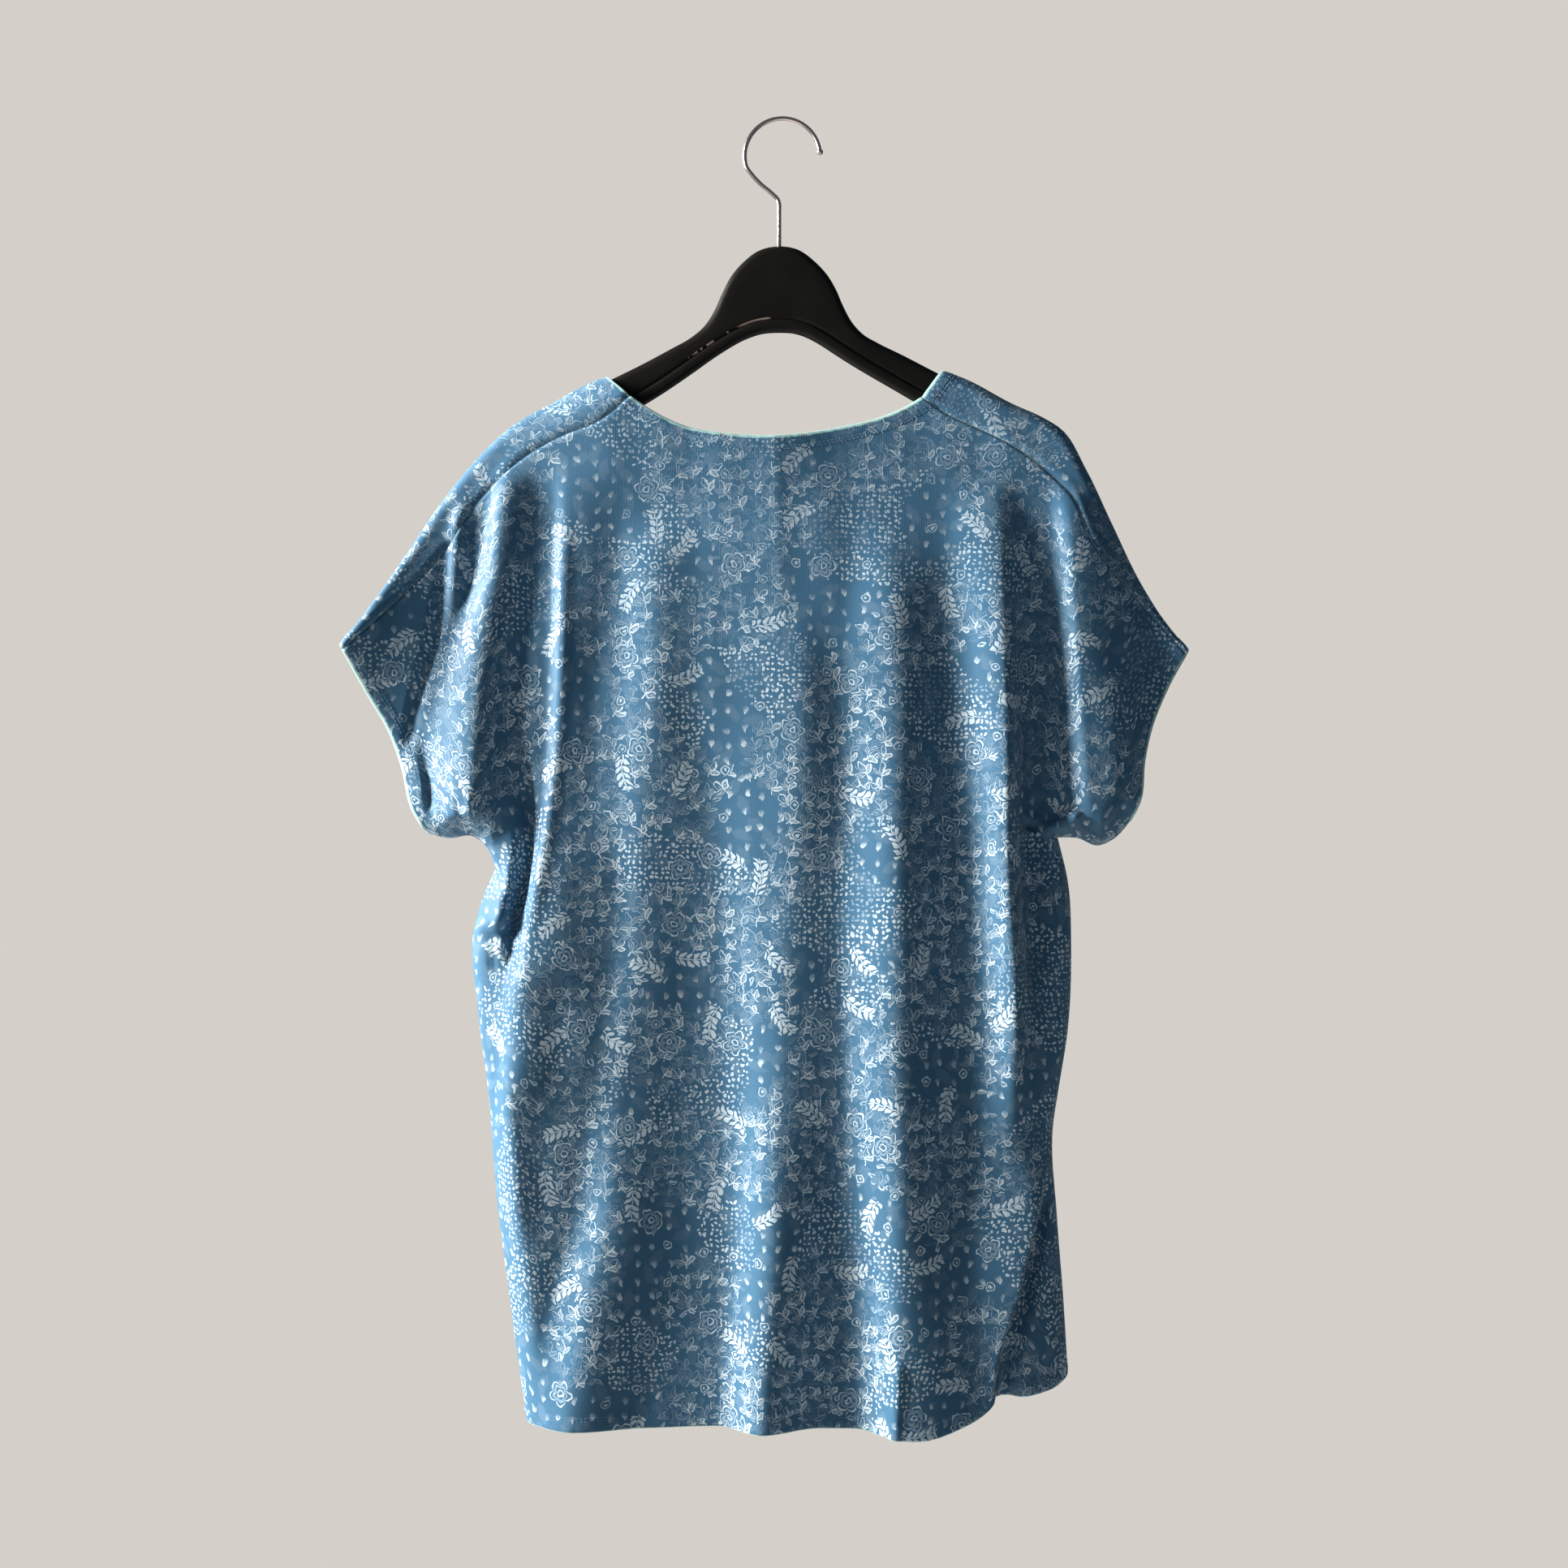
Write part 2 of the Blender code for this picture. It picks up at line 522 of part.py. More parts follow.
def material(name, colour, roughness, metallic=0.0):
    made = bpy.data.materials.new(name)
    made.use_nodes = True
    shader = made.node_tree.nodes["Principled BSDF"]
    shader.inputs["Base Color"].default_value = (*colour, 1.0)
    shader.inputs["Roughness"].default_value = roughness
    shader.inputs["Metallic"].default_value = metallic
    made.diffuse_color = (*colour, 1.0)
    return made


def add_object(name, points, faces, surface):
    mesh = bpy.data.meshes.new(name)
    mesh.from_pydata([tuple(point) for point in np.asarray(points) * MM], [], faces)
    mesh.materials.append(surface)
    mesh.update()
    made = bpy.data.objects.new(name, mesh)
    bpy.context.scene.collection.objects.link(made)
    return made


def tube_faces(sections, around):
    """Quads between rings of points, closed at both ends."""
    faces = []
    for s in range(sections - 1):
        for k in range(around):
            a, b = s * around + k, s * around + (k + 1) % around
            faces.append((a, b, b + around, a + around))
    faces.append(tuple(reversed(range(around))))
    faces.append(tuple(range((sections - 1) * around, sections * around)))
    return faces


def arm_profile(height):
    """Half of the hanger's section from its top down, as (distance below the top, half thickness)."""
    top, half, foot = ARM_TOP_ROUND, ARM_HALF_THICKNESS, ARM_BOTTOM_ROUND
    top = min(top, TIP_ROUND_SHARE * height)
    foot = min(foot, TIP_FOOT_SHARE * height)
    steep = math.sin(math.radians(45))
    return [(top * (1 - steep), half * steep), (top, half), (height - foot, half), (height, half - foot)]


def make_hanger(surface):
    points = []
    for top_x, top_z, bottom_x, bottom_z in ARM_SECTIONS:
        height = math.hypot(top_x - bottom_x, top_z - bottom_z)
        down = ((bottom_x - top_x) / height, (bottom_z - top_z) / height)
        side = arm_profile(height)
        ring = [(0.0, 0.0)] + side + [(below, -half) for below, half in reversed(side)]
        points += [(top_x + down[0] * below, y, top_z + down[1] * below) for below, y in ring]
    faces = tube_faces(len(ARM_SECTIONS), len(ring))
    arm = add_object("hanger_arm", points, faces, surface)
    bpy.ops.mesh.primitive_cylinder_add(
        vertices=12, radius=(WIRE_RADIUS + BORE_CLEARANCE) * MM, depth=(STEM_DEPTH + CUTTER_ABOVE) * MM,
        location=(STEM_X * MM, 0, (HUMP_TOP + (CUTTER_ABOVE - STEM_DEPTH) / 2) * MM))
    cutter = bpy.context.object
    cutter.name = "stem_bore"
    cutter.hide_render = True
    cutter.display_type = "WIRE"
    bore = arm.modifiers.new("stem_bore", "BOOLEAN")
    bore.operation = "DIFFERENCE"
    bore.solver = "EXACT"
    bore.object = cutter
    return arm


def make_hook(surface):
    """The wire, as a round curve with a small ball at its open end."""
    centre_z = WIRE_RADIUS - HOOK_RADIUS
    arc = np.radians(np.linspace(HOOK_ARC_END, HOOK_OPEN_END, 17))
    round_part = np.stack([HOOK_RADIUS * np.cos(arc), centre_z + HOOK_RADIUS * np.sin(arc)], axis=1)
    stem = [(STEM_X, HUMP_TOP - STEM_DEPTH + BORE_CLEARANCE), (STEM_X, -78.0), (STEM_X, -66.0)]
    path = np.array(stem + list(HOOK_NECK) + [tuple(point) for point in round_part])
    heading = (path[-1] - path[-2]) / np.linalg.norm(path[-1] - path[-2])
    sizes = [1.0] * len(path)
    for step, size in BALL_PROFILE:
        path = np.append(path, [round_part[-1] + heading * step * BALL_RADIUS], axis=0)
        sizes.append(size * BALL_RADIUS / WIRE_RADIUS)
    curve = bpy.data.curves.new("hanger_hook", "CURVE")
    curve.dimensions = "3D"
    curve.bevel_depth = WIRE_RADIUS * MM
    curve.bevel_resolution = 2
    curve.use_fill_caps = True
    curve.materials.append(surface)
    wire = curve.splines.new("POLY")
    wire.points.add(len(path) - 1)
    for point, (x, z), size in zip(wire.points, path, sizes):
        point.co = (x * MM, 0.0, z * MM, 1.0)
        point.radius = size
    hook = bpy.data.objects.new("hanger_hook", curve)
    bpy.context.scene.collection.objects.link(hook)
    return hook


def make_shirt(surface):
    points, quads = weld(cloth_blocks(Outline()))
    normals = point_normals(points, np.concatenate(list(quads.values())))
    borders = {panel: border_of(parts) for panel, parts in quads.items()}
    for panel, other in (("back", "front"), ("front", "back")):
        border = borders[panel]
        seam_edges = border[edge_mask(border, borders[other])]
        shell_points, faces = panel_shell(points, normals, quads[panel], border, seam_edges)
        add_object(panel, shell_points, faces, surface)


def main():
    for old in list(bpy.data.objects):
        bpy.data.objects.remove(old)
    make_shirt(material("blue_jersey", (0.070, 0.171, 0.328), 0.85))
    make_hanger(material("black_lacquer", (0.012, 0.011, 0.010), 0.40))
    make_hook(material("steel_wire", (0.62, 0.58, 0.56), 0.30, 1.0))


main()
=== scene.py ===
import math

import bpy
import numpy as np
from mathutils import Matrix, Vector


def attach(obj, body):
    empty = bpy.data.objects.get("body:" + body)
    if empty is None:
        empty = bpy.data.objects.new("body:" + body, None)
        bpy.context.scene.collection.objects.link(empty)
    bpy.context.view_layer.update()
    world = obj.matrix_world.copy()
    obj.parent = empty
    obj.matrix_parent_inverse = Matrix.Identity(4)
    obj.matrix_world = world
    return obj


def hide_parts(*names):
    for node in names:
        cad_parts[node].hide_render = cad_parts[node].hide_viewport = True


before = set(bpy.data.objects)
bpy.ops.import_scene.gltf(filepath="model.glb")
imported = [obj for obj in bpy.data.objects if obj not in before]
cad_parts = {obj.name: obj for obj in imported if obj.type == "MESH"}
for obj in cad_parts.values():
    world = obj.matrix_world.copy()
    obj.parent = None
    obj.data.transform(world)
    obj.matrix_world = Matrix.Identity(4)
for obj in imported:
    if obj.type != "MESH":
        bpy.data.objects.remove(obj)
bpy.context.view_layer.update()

# Lengths are in millimetres in the tables and in the shaders' maths, and in metres in the meshes.
# The hook's hanging point is the origin: x runs to the right, y away from the camera, z up.
mm = 0.001
metre = 1000.0  # in millimetres
smallest = 1e-12  # keeps divisions away from zero

shirtCut = {
    # outlines as (x, z): shoulders and seams from the neck out, cuffs from the tip down,
    # sleeve undersides from the cuff in, sides from the underarm down
    "shoulders": (
        ((-130, -189.8), (-145, -195.5), (-165.5, -206.5), (-204, -229.3), (-228.5, -253.3),
         (-252.5, -284), (-276.5, -322.5), (-305.5, -367.5), (-321.5, -388.5)),
        ((118.5, -184.8), (134.5, -190.7), (169.5, -209.2), (193, -219.8), (206, -228),
         (224.5, -258), (243.5, -298), (266.5, -345), (290.5, -380.5), (300, -391))),
    "seams": (
        ((-112, -206.5), (-132, -223.5), (-162, -235.5), (-186, -248), (-204, -262), (-226, -285.5),
         (-245, -315), (-277, -352)),
        ((103, -206), (121, -218), (145, -229), (167, -240), (193, -259), (214, -280.5),
         (224, -307), (246, -337), (270, -364))),
    "cuffs": (
        ((-321.5, -388.5), (-302.5, -426), (-288, -453), (-279, -480), (-272.5, -508), (-262, -526.5)),
        ((300, -391), (283.5, -421), (271.5, -449), (265.5, -474), (263, -500), (256, -519))),
    "unders": (
        ((-262, -526.5), (-247, -530.5), (-229, -529), (-217, -539.5), (-212, -553)),
        ((256, -519), (245, -531), (233, -536), (218, -530.5), (203.5, -530))),
    "sides": (
        ((-212, -553), (-222, -577), (-228.5, -602), (-225.5, -654), (-217, -721), (-211, -797),
         (-202, -866), (-194.5, -922), (-189, -960)),
        ((203.5, -530), (211, -562), (213.5, -611), (211, -672), (204, -717), (200, -744), (203, -810),
         (207.5, -868), (211, -925))),
    "neckBack": ((-112, -206.5), (-93, -219), (-71, -229), (-43, -234), (-14, -236), (14, -234),
                 (45, -228.5), (72, -221.5), (91, -213.5), (103, -206)),
    "neckFront": ((-130, -189.8), (-121, -222), (-102, -252), (-66, -277), (-5, -287), (56, -277),
                  (92, -251), (111, -220), (118.5, -184.8)),
    "hemBack": ((-189, -960), (-110, -960), (-20, -959.5), (60, -960), (118, -961), (145, -953),
                (165, -943.5), (190, -936), (211, -925)),
    "hemFront": ((-189, -960), (-110, -957), (0, -955), (110, -954), (175, -942), (211, -925)),
    "seamEndBelowTip": 4.5,
}

shirtForm = {
    "cloth": 0.8, "hemCloth": 1.5, "hemWidth": 10.6, "seamGap": 0.16,
    "shoulderRadius": 8.4, "cuffTipRadius": 4.6, "hangerReach": 210.0, "cuffReach": 321.5,
    "swellStart": 8.0, "swellLength": 260.0,
    # how the two sides close at the sides and under the sleeves: depth, radius and slope
    "sideRounding": (15.0, 22.0, 0.30), "sleeveRounding": (9.0, 10.0, 0.30),
    "blend": 4.0, "leastDepth": 1e-6, "atEdge": 1e-4,
    "foldFade": 20.0, "flattestShare": 0.32, "hemReach": 12.0,
    # unevenness: rows of (share, x, z and turn of one wave, z, x and turn of the wave that crosses it)
    "waver": 0.55,
    "waves": ((0.40, 9.7, 61, 1.0, 83, 57, 2.0), (0.34, 15.3, -97, 1.7, 49, -140, 1.0),
              (0.26, 6.1, 130, 3.1, 37, 80, 0.0)),
    "rimTurns": (45.0, 90.0, 135.0), "rimRound": 0.8,
}

# folds: rows of (z, x of the ridge, width of the flank towards -X, width towards +X, height)
backFolds = {
    "leftSleeveOuter": ((-270, -236, 8, 9, 0), (-300, -238, 8, 10, 4), (-340, -241, 9, 11, 4),
                        (-390, -243, 12, 12, 0)),
    "leftSleeveInner": ((-250, -200, 12, 24, 0), (-278, -204, 13, 28, 7), (-335, -210, 18, 32, 10),
                        (-370, -218, 24, 34, 11), (-420, -224, 36, 32, 13), (-480, -227, 42, 30, 14),
                        (-512, -228, 42, 28, 15), (-534, -229, 36, 24, 8), (-548, -229, 30, 20, 0)),
    "leftYoke": ((-178, -122, 108, 200, 5), (-215, -122, 108, 200, 8), (-260, -126, 100, 190, 5),
                 (-305, -130, 90, 180, 0)),
    "leftMain": ((-248, -158, 12, 44, 0), (-275, -159, 11, 44, 2.5), (-330, -160, 11, 42, 5.8),
                 (-380, -161, 10, 34, 6.2), (-440, -163, 10, 30, 4.8), (-500, -168, 10, 34, 4.8),
                 (-532, -173, 10, 48, 6.5), (-560, -178, 10, 64, 9.5), (-610, -185, 12, 76, 8),
                 (-665, -190, 14, 80, 0)),
    "leftMainEdge": ((-285, -160, 8, 10, 0), (-330, -161, 8, 10, 2), (-440, -164, 8, 10, 1.8),
                     (-500, -169, 8, 10, 1.8), (-532, -174, 8, 11, 2.2), (-560, -179, 9, 12, 2.5),
                     (-610, -186, 9, 12, 0)),
    "leftCrease": ((-452, -189, 16, 9, 0), (-500, -187, 15, 9, -8), (-530, -186, 12, 8, -12),
                   (-562, -190, 9, 8, -14), (-588, -195, 8, 8, -11), (-616, -200, 7, 8, -5),
                   (-645, -204, 8, 10, 0)),
    "leftSleeveFoot": ((-300, -246, 8, 8, 0), (-360, -251, 8, 8, -2.4), (-391, -257, 8, 8, -3),
                       (-420, -266, 8, 9, -3.2), (-448, -273, 7, 9, -2.6), (-468, -275, 6, 9, 0)),
    "leftSleeveDart": ((-476, -262, 5, 5, 0), (-490, -260, 5, 6, -2.2), (-502, -259, 6, 6, -3.2),
                       (-517, -258, 5, 6, 0)),
    "leftCuffFlat": ((-452, -270, 12, 9, 0), (-474, -268, 14, 7, 2.6), (-495, -264, 14, 6, 3.2),
                     (-517, -262, 10, 6, 0)),
    "leftFlap": ((-532, -201, 12, 9, 0), (-556, -202, 12, 8, 6), (-585, -206, 13, 9, 7.5),
                 (-612, -211, 14, 10, 0)),
    "leftEdge": ((-600, -190, 24, 60, 0), (-640, -188, 28, 84, 6), (-690, -190, 28, 92, 9),
                 (-751, -205, 14, 90, 9), (-811, -202, 13, 66, 8), (-850, -192, 15, 40, 7),
                 (-925, -184, 14, 24, 3), (-962, -180, 14, 20, 0)),
    "leftEdgeRoll": ((-612, -196, 10, 40, 0), (-645, -196, 10, 40, 3), (-690, -198, 10, 40, 4.5),
                     (-740, -207, 8, 36, 5), (-790, -205, 8, 34, 5), (-835, -200, 8, 30, 0)),
    "leftSecond": ((-285, -92, 30, 36, 0), (-331, -92, 30, 34, 3.4), (-391, -91, 32, 34, 4),
                   (-451, -95, 30, 38, 4), (-511, -99, 26, 48, 3), (-600, -104, 22, 56, 3),
                   (-680, -110, 26, 60, 3.2), (-745, -119, 27, 60, 4.6), (-811, -127, 29, 60, 8),
                   (-880, -141, 34, 58, 10.5), (-962, -153, 34, 54, 12)),
    "leftHollow": ((-400, -54, 100, 34, 0), (-500, -52, 100, 34, -3), (-570, -50, 106, 33, -5),
                   (-640, -48, 110, 32, -6.5), (-740, -46, 105, 32, -7), (-840, -46, 90, 30, -6),
                   (-962, -48, 70, 30, -5)),
    "centre": ((-345, 10, 56, 30, 0), (-430, 12, 54, 34, 4), (-511, 11, 48, 36, 5), (-571, 7, 40, 40, 4),
               (-631, 2, 34, 44, 4.8), (-691, 0, 31, 48, 6.6), (-751, -4, 30, 50, 9.2),
               (-811, -6, 31, 50, 12.4), (-871, -10, 33, 48, 15.2), (-962, -14, 34, 42, 18)),
    "rightCentre": ((-285, 78, 32, 34, 0), (-360, 80, 36, 38, 5.5), (-450, 83, 40, 38, 9),
                    (-570, 82, 42, 44, 12), (-650, 83, 42, 46, 13.5), (-750, 84, 40, 52, 15.5),
                    (-850, 85, 36, 60, 17.5), (-962, 83, 31, 71, 22)),
    "underarmRight": ((-255, 152, 36, 22, 0), (-300, 158, 42, 22, 6), (-360, 161, 43, 20, 12),
                      (-420, 163, 40, 15, 15), (-560, 165, 29, 13, 17), (-661, 170, 28, 14, 15),
                      (-720, 169, 28, 18, 9), (-790, 165, 30, 24, 0)),
    "rightFurrow": ((-330, 183, 14, 16, 0), (-430, 184, 14, 16, -6), (-520, 185, 14, 16, -8),
                    (-610, 186, 14, 16, -8), (-700, 192, 14, 14, 0)),
    "rightSleeve": ((-262, 208, 14, 30, 0), (-300, 211, 16, 48, 7), (-400, 217, 18, 76, 11),
                    (-460, 221, 21, 80, 12), (-508, 225, 23, 70, 12), (-530, 229, 22, 50, 9),
                    (-546, 230, 20, 40, 0)),
    "rightSleeveLower": ((-390, 243, 22, 30, 0), (-440, 245, 22, 28, 1.5), (-490, 246, 20, 22, 1.5),
                         (-528, 244, 18, 20, 0)),
    "rightPleat": ((-508, 213, 6, 6, 0), (-513, 213, 13, 6, 10), (-519, 212, 24, 6, 15),
                   (-525, 210, 34, 7, 18), (-531, 209, 18, 8, 12), (-536, 208, 12, 8, 0)),
    "lowerRight": ((-740, 198, 60, 5, 0), (-780, 191, 84, 4, 5), (-850, 175, 100, 4, 7.5),
                   (-925, 154, 92, 4.5, 9), (-962, 151, 84, 7, 10)),
    "lowerRightFurrow": ((-764, 198, 5, 7, 0), (-796, 193, 5, 8, -14), (-850, 180, 5, 11, -19),
                         (-925, 160, 6, 17, -20), (-962, 159, 8, 20, -12)),
}
frontFolds = {
    "leftSleeve": ((-262, -214, 36, 18, 0), (-320, -220, 50, 18, 8), (-420, -224, 50, 22, 13),
                   (-520, -226, 30, 20, 0)),
    "leftArmpit": ((-255, -160, 12, 40, 0), (-330, -164, 10, 44, 8), (-560, -168, 10, 46, 14),
                   (-680, -178, 16, 42, 0)),
    "leftHang": ((-540, -108, 40, 34, 0), (-740, -112, 42, 34, 8), (-962, -118, 44, 30, 14)),
    "centreLeft": ((-400, -46, 40, 30, 0), (-640, -44, 42, 30, 8), (-962, -40, 46, 28, 15)),
    "centreRight": ((-360, 36, 34, 40, 0), (-600, 38, 32, 44, 7), (-962, 34, 34, 48, 16)),
    "rightHang": ((-500, 104, 30, 40, 0), (-740, 108, 30, 40, 9), (-962, 110, 32, 36, 13)),
    "rightArmpit": ((-250, 150, 44, 14, 0), (-330, 156, 46, 11, 7), (-540, 160, 46, 11, 13),
                    (-660, 168, 42, 16, 0)),
    "rightEdge": ((-700, 186, 20, 24, 0), (-820, 184, 20, 22, 6), (-962, 188, 18, 16, 6)),
    "rightSleeve": ((-262, 214, 18, 40, 0), (-330, 220, 18, 50, 8), (-430, 222, 20, 44, 11),
                    (-520, 216, 18, 30, 0)),
}

# bends of both layers towards the camera: (x, z) of the middle, reach along each, and how far
sleeveBends = ((-350, -360, 130, 150, 30),)

# small creases: (x, z) of both ends, the half width and the height, below zero for a furrow
backCreases = (
    (-236, -505, -232, -528, 3.2, -1.6), (-228, -500, -225, -530, 3.4, 1.5),
    (-221, -498, -219, -531, 3.0, -1.6), (-214, -505, -213, -538, 3.2, 1.4),
    (-254, -527, -238, -520, 5.0, -3.2), (-246, -516, -230, -514, 5.0, 1.6),
    (-209, -545, -202, -580, 4.0, -1.6), (-203, -552, -198, -574, 3.6, 1.5),
    (-229, -604, -204, -600, 9.0, -5.5), (-212, -606, -211, -628, 5.0, -2.4),
    (-226, -584, -210, -590, 6.0, 2.2),
    (210, -532, 180, -522, 4.2, -3.4), (206, -524, 178, -514, 4.6, 2.4), (184, -524, 170, -508, 4.0, -1.8),
    (205, -562, 192, -548, 6.0, -1.6), (194, -784, 203, -808, 3.4, -2.2), (83, -912, 80, -966, 7.0, 2.6),
)
frontCreases = (
    (-238, -500, -232, -527, 4.0, -1.6), (-222, -496, -220, -530, 4.0, 1.5),
    (-208, -560, -196, -572, 6.0, -2.0), (226, -500, 224, -528, 4.0, -1.5),
    (204, -545, 186, -524, 6.0, -1.8),
)

# each side: how far it swells from the hanger's plane, its folds and creases, and its waver's start
shirtSides = {
    "back": (13.0, backFolds, backCreases, 0.6),
    "front": (10.0, frontFolds, frontCreases, 2.1),
}

shirtMesh = {
    # places near an edge, closer together towards it
    "edgeSteps": (0.0, 0.7, 1.8, 3.2, 5.0, 7.2, 9.8, 12.6, 15.6),
    "neckSteps": (0.0, 0.8, 2.0, 3.6, 5.6, 8.0, 10.8),
    # shares with close steps: where they stop, their step, and how far they close the other end
    "sleeveClose": (0.22, 0.016, 0.0), "upperClose": (0.048, 0.0036, 0.036),
    "lowerClose": (0.036, 0.0026, 0.0),
    "sleeveColumns": 26, "shoulderColumns": 28, "neckColumns": 82,
    "wrapRows": 13, "wrapCrowding": 1.6, "upperRows": 96, "lowerRows": 112, "cuffSteps": 60,
    "leanReach": (90.0, 199.0), "leanOffset": 18.0, "leanStart": -560.0, "leanLength": 200.0,
    "gather": 0.6, "gatherReach": 20.0,
}


def curveThrough(at, knots, values, slopes):
    span = np.clip(np.searchsorted(knots, at, side="right") - 1, 0, len(knots) - 2)
    length = knots[span + 1] - knots[span]
    t = np.clip((at - knots[span]) / length, 0.0, 1.0)
    shape = at.shape + (1,) * (values.ndim - 1)
    t, length = t.reshape(shape), length.reshape(shape)
    return ((2 * t ** 3 - 3 * t ** 2 + 1) * values[span]
            + (t ** 3 - 2 * t ** 2 + t) * length * slopes[span]
            + (3 * t ** 2 - 2 * t ** 3) * values[span + 1]
            + (t ** 3 - t ** 2) * length * slopes[span + 1])


def lengthsAlong(line):
    return np.concatenate([[0.0], np.cumsum(np.linalg.norm(np.diff(line, axis=0), axis=1))])


def smoothLine(points, steps=10):
    points = np.array(points, float)
    length = lengthsAlong(points)
    slopes = np.gradient(points, length, axis=0)
    at = np.concatenate([np.linspace(a, b, steps, endpoint=False) for a, b in zip(length, length[1:])]
                        + [length[-1:]])
    return curveThrough(at, length, points, slopes)


def atLengths(line, lengths):
    along = lengthsAlong(line)
    return np.stack([np.interp(lengths, along, line[:, k]) for k in range(line.shape[1])], axis=1)


def atShares(line, shares):
    return atLengths(line, np.asarray(shares) * lengthsAlong(line)[-1])


def shareAtX(line, x):
    along = lengthsAlong(line)
    order = np.argsort(line[:, 0])
    return float(np.interp(x, line[order, 0], along[order]) / along[-1])


def eased(z, knots, values):
    # values between the rows of a table that runs down, without overshoot
    knots, values = -np.array(knots, float), np.array(values, float)
    step = np.diff(values) / np.diff(knots)
    slopes = np.zeros(len(values))
    both = step[:-1] * step[1:]
    slopes[1:-1] = np.where(both > 0, 2 * both / np.where(both > 0, step[:-1] + step[1:], 1), 0)
    return curveThrough(-z, knots, values, slopes)


def softStep(t):
    t = np.clip(t, 0.0, 1.0)
    return t * t * (3 - 2 * t)


def distanceToRuns(starts, ends, points, chunk=6000):
    # distance from each point to the nearest of many straight runs, in two or three dimensions
    run = ends - starts
    size = np.maximum((run * run).sum(-1), smallest)
    found = np.empty(len(points))
    for k in range(0, len(points), chunk):
        fromStart = points[k:k + chunk, None, :] - starts
        t = np.clip((fromStart * run).sum(-1) / size, 0.0, 1.0)
        fromStart -= t[..., None] * run
        found[k:k + chunk] = np.sqrt((fromStart * fromStart).sum(-1).min(axis=1))
    return found


def distanceTo(line, x, z):
    return distanceToRuns(line[:-1], line[1:], np.stack([x, z], axis=-1))


def rounded(distance, radius):
    t = np.clip(distance / radius, 0.0, 1.0)
    return np.sqrt(t * (2 - t))


def foldHeights(folds, x, z):
    total = np.zeros(len(x))
    for rows in folds.values():
        knots, *columns = zip(*rows)
        ridge, rise, fall, height = (eased(z, knots, column) for column in columns)
        height = np.where((z > knots[0]) | (z < knots[-1] - shirtForm["hemReach"]), 0.0, height)
        flank = np.where(x < ridge, rise, fall)
        total += height * softStep(1 - np.abs(x - ridge) / flank)
    return total


def creaseHeights(creases, x, z):
    total = np.zeros(len(x))
    for x1, z1, x2, z2, half, height in creases:
        run = np.array([x2 - x1, z2 - z1], float)
        t = np.clip(((x - x1) * run[0] + (z - z1) * run[1]) / (run @ run), 0, 1)
        away = np.hypot(x - x1 - t * run[0], z - z1 - t * run[1])
        total += height * softStep(1 - away / half)
    return total


def bendAt(x, z):
    total = np.zeros(len(x))
    for middleX, middleZ, reachX, reachZ, amount in sleeveBends:
        total += (amount * softStep(1 - np.abs(x - middleX) / reachX)
                  * softStep(1 - np.abs(z - middleZ) / reachZ))
    return total


def waver(x, z, turn):
    # slight unevenness, longer down the cloth than across it
    total = np.zeros(len(x))
    for share, overX, overZ, oneTurn, alongZ, alongX, otherTurn in shirtForm["waves"]:
        total += (share * np.sin(x / overX + z / overZ + oneTurn * turn)
                  * np.sin(z / alongZ + x / alongX + otherTurn * turn))
    return total


class Outline:
    def __init__(self):
        self.shoulder = [smoothLine(line) for line in shirtCut["shoulders"]]
        self.cuff = [smoothLine(line) for line in shirtCut["cuffs"]]
        self.under = [smoothLine(line) for line in shirtCut["unders"]]
        self.side = [smoothLine(line) for line in shirtCut["sides"]]
        self.neckBack, self.neckFront = smoothLine(shirtCut["neckBack"]), smoothLine(shirtCut["neckFront"])
        self.hemBack, self.hemFront = smoothLine(shirtCut["hemBack"]), smoothLine(shirtCut["hemFront"])
        self.seam = []
        for points, cuff in zip(shirtCut["seams"], self.cuff):
            end = atLengths(cuff, [shirtCut["seamEndBelowTip"]])[0]
            self.seam.append(smoothLine(list(points) + [end]))

    def depth(self, x, z, side):
        # distance of a side's outer face from the hanger's plane
        form = shirtForm
        swell, folds, creases, turn = shirtSides[side]
        shoulder, under, sides = (np.minimum(*(distanceTo(line, x, z) for line in lines))
                                  for lines in (self.shoulder, self.under, self.side))
        reach = softStep((np.abs(x) - form["hangerReach"]) / (form["cuffReach"] - form["hangerReach"]))
        radius = form["shoulderRadius"] + (form["cuffTipRadius"] - form["shoulderRadius"]) * reach
        below = softStep((shoulder - form["swellStart"]) / form["swellLength"])
        fromTop = radius * rounded(shoulder, radius) + swell * below
        total = np.maximum(fromTop, form["leastDepth"]) ** -form["blend"]
        for distance, (deep, roundRadius, slope) in ((sides, form["sideRounding"]),
                                                     (under, form["sleeveRounding"])):
            closing = deep * rounded(distance, roundRadius) + slope * distance
            total = total + np.maximum(closing, form["leastDepth"]) ** -form["blend"]
        edge = np.minimum(np.minimum(shoulder, under), sides)
        base = np.where(edge < form["atEdge"], 0.0, total ** (-1 / form["blend"]))
        extra = foldHeights(folds, x, z) + creaseHeights(creases, x, z) + form["waver"] * waver(x, z, turn)
        shaped = base + extra * softStep(edge / form["foldFade"])
        return np.maximum(shaped, form["flattestShare"] * base)


def filledPatch(top, bottom, left, right, across, down):
    u, v = np.asarray(across)[None, :, None], np.asarray(down)[:, None, None]
    corners = ((1 - u) * (1 - v) * top[0] + u * (1 - v) * top[-1]
               + (1 - u) * v * bottom[0] + u * v * bottom[-1])
    return (1 - v) * top[None] + v * bottom[None] + (1 - u) * left[:, None] + u * right[:, None] - corners


def sharesOf(points):
    along = lengthsAlong(points)
    return along / along[-1]


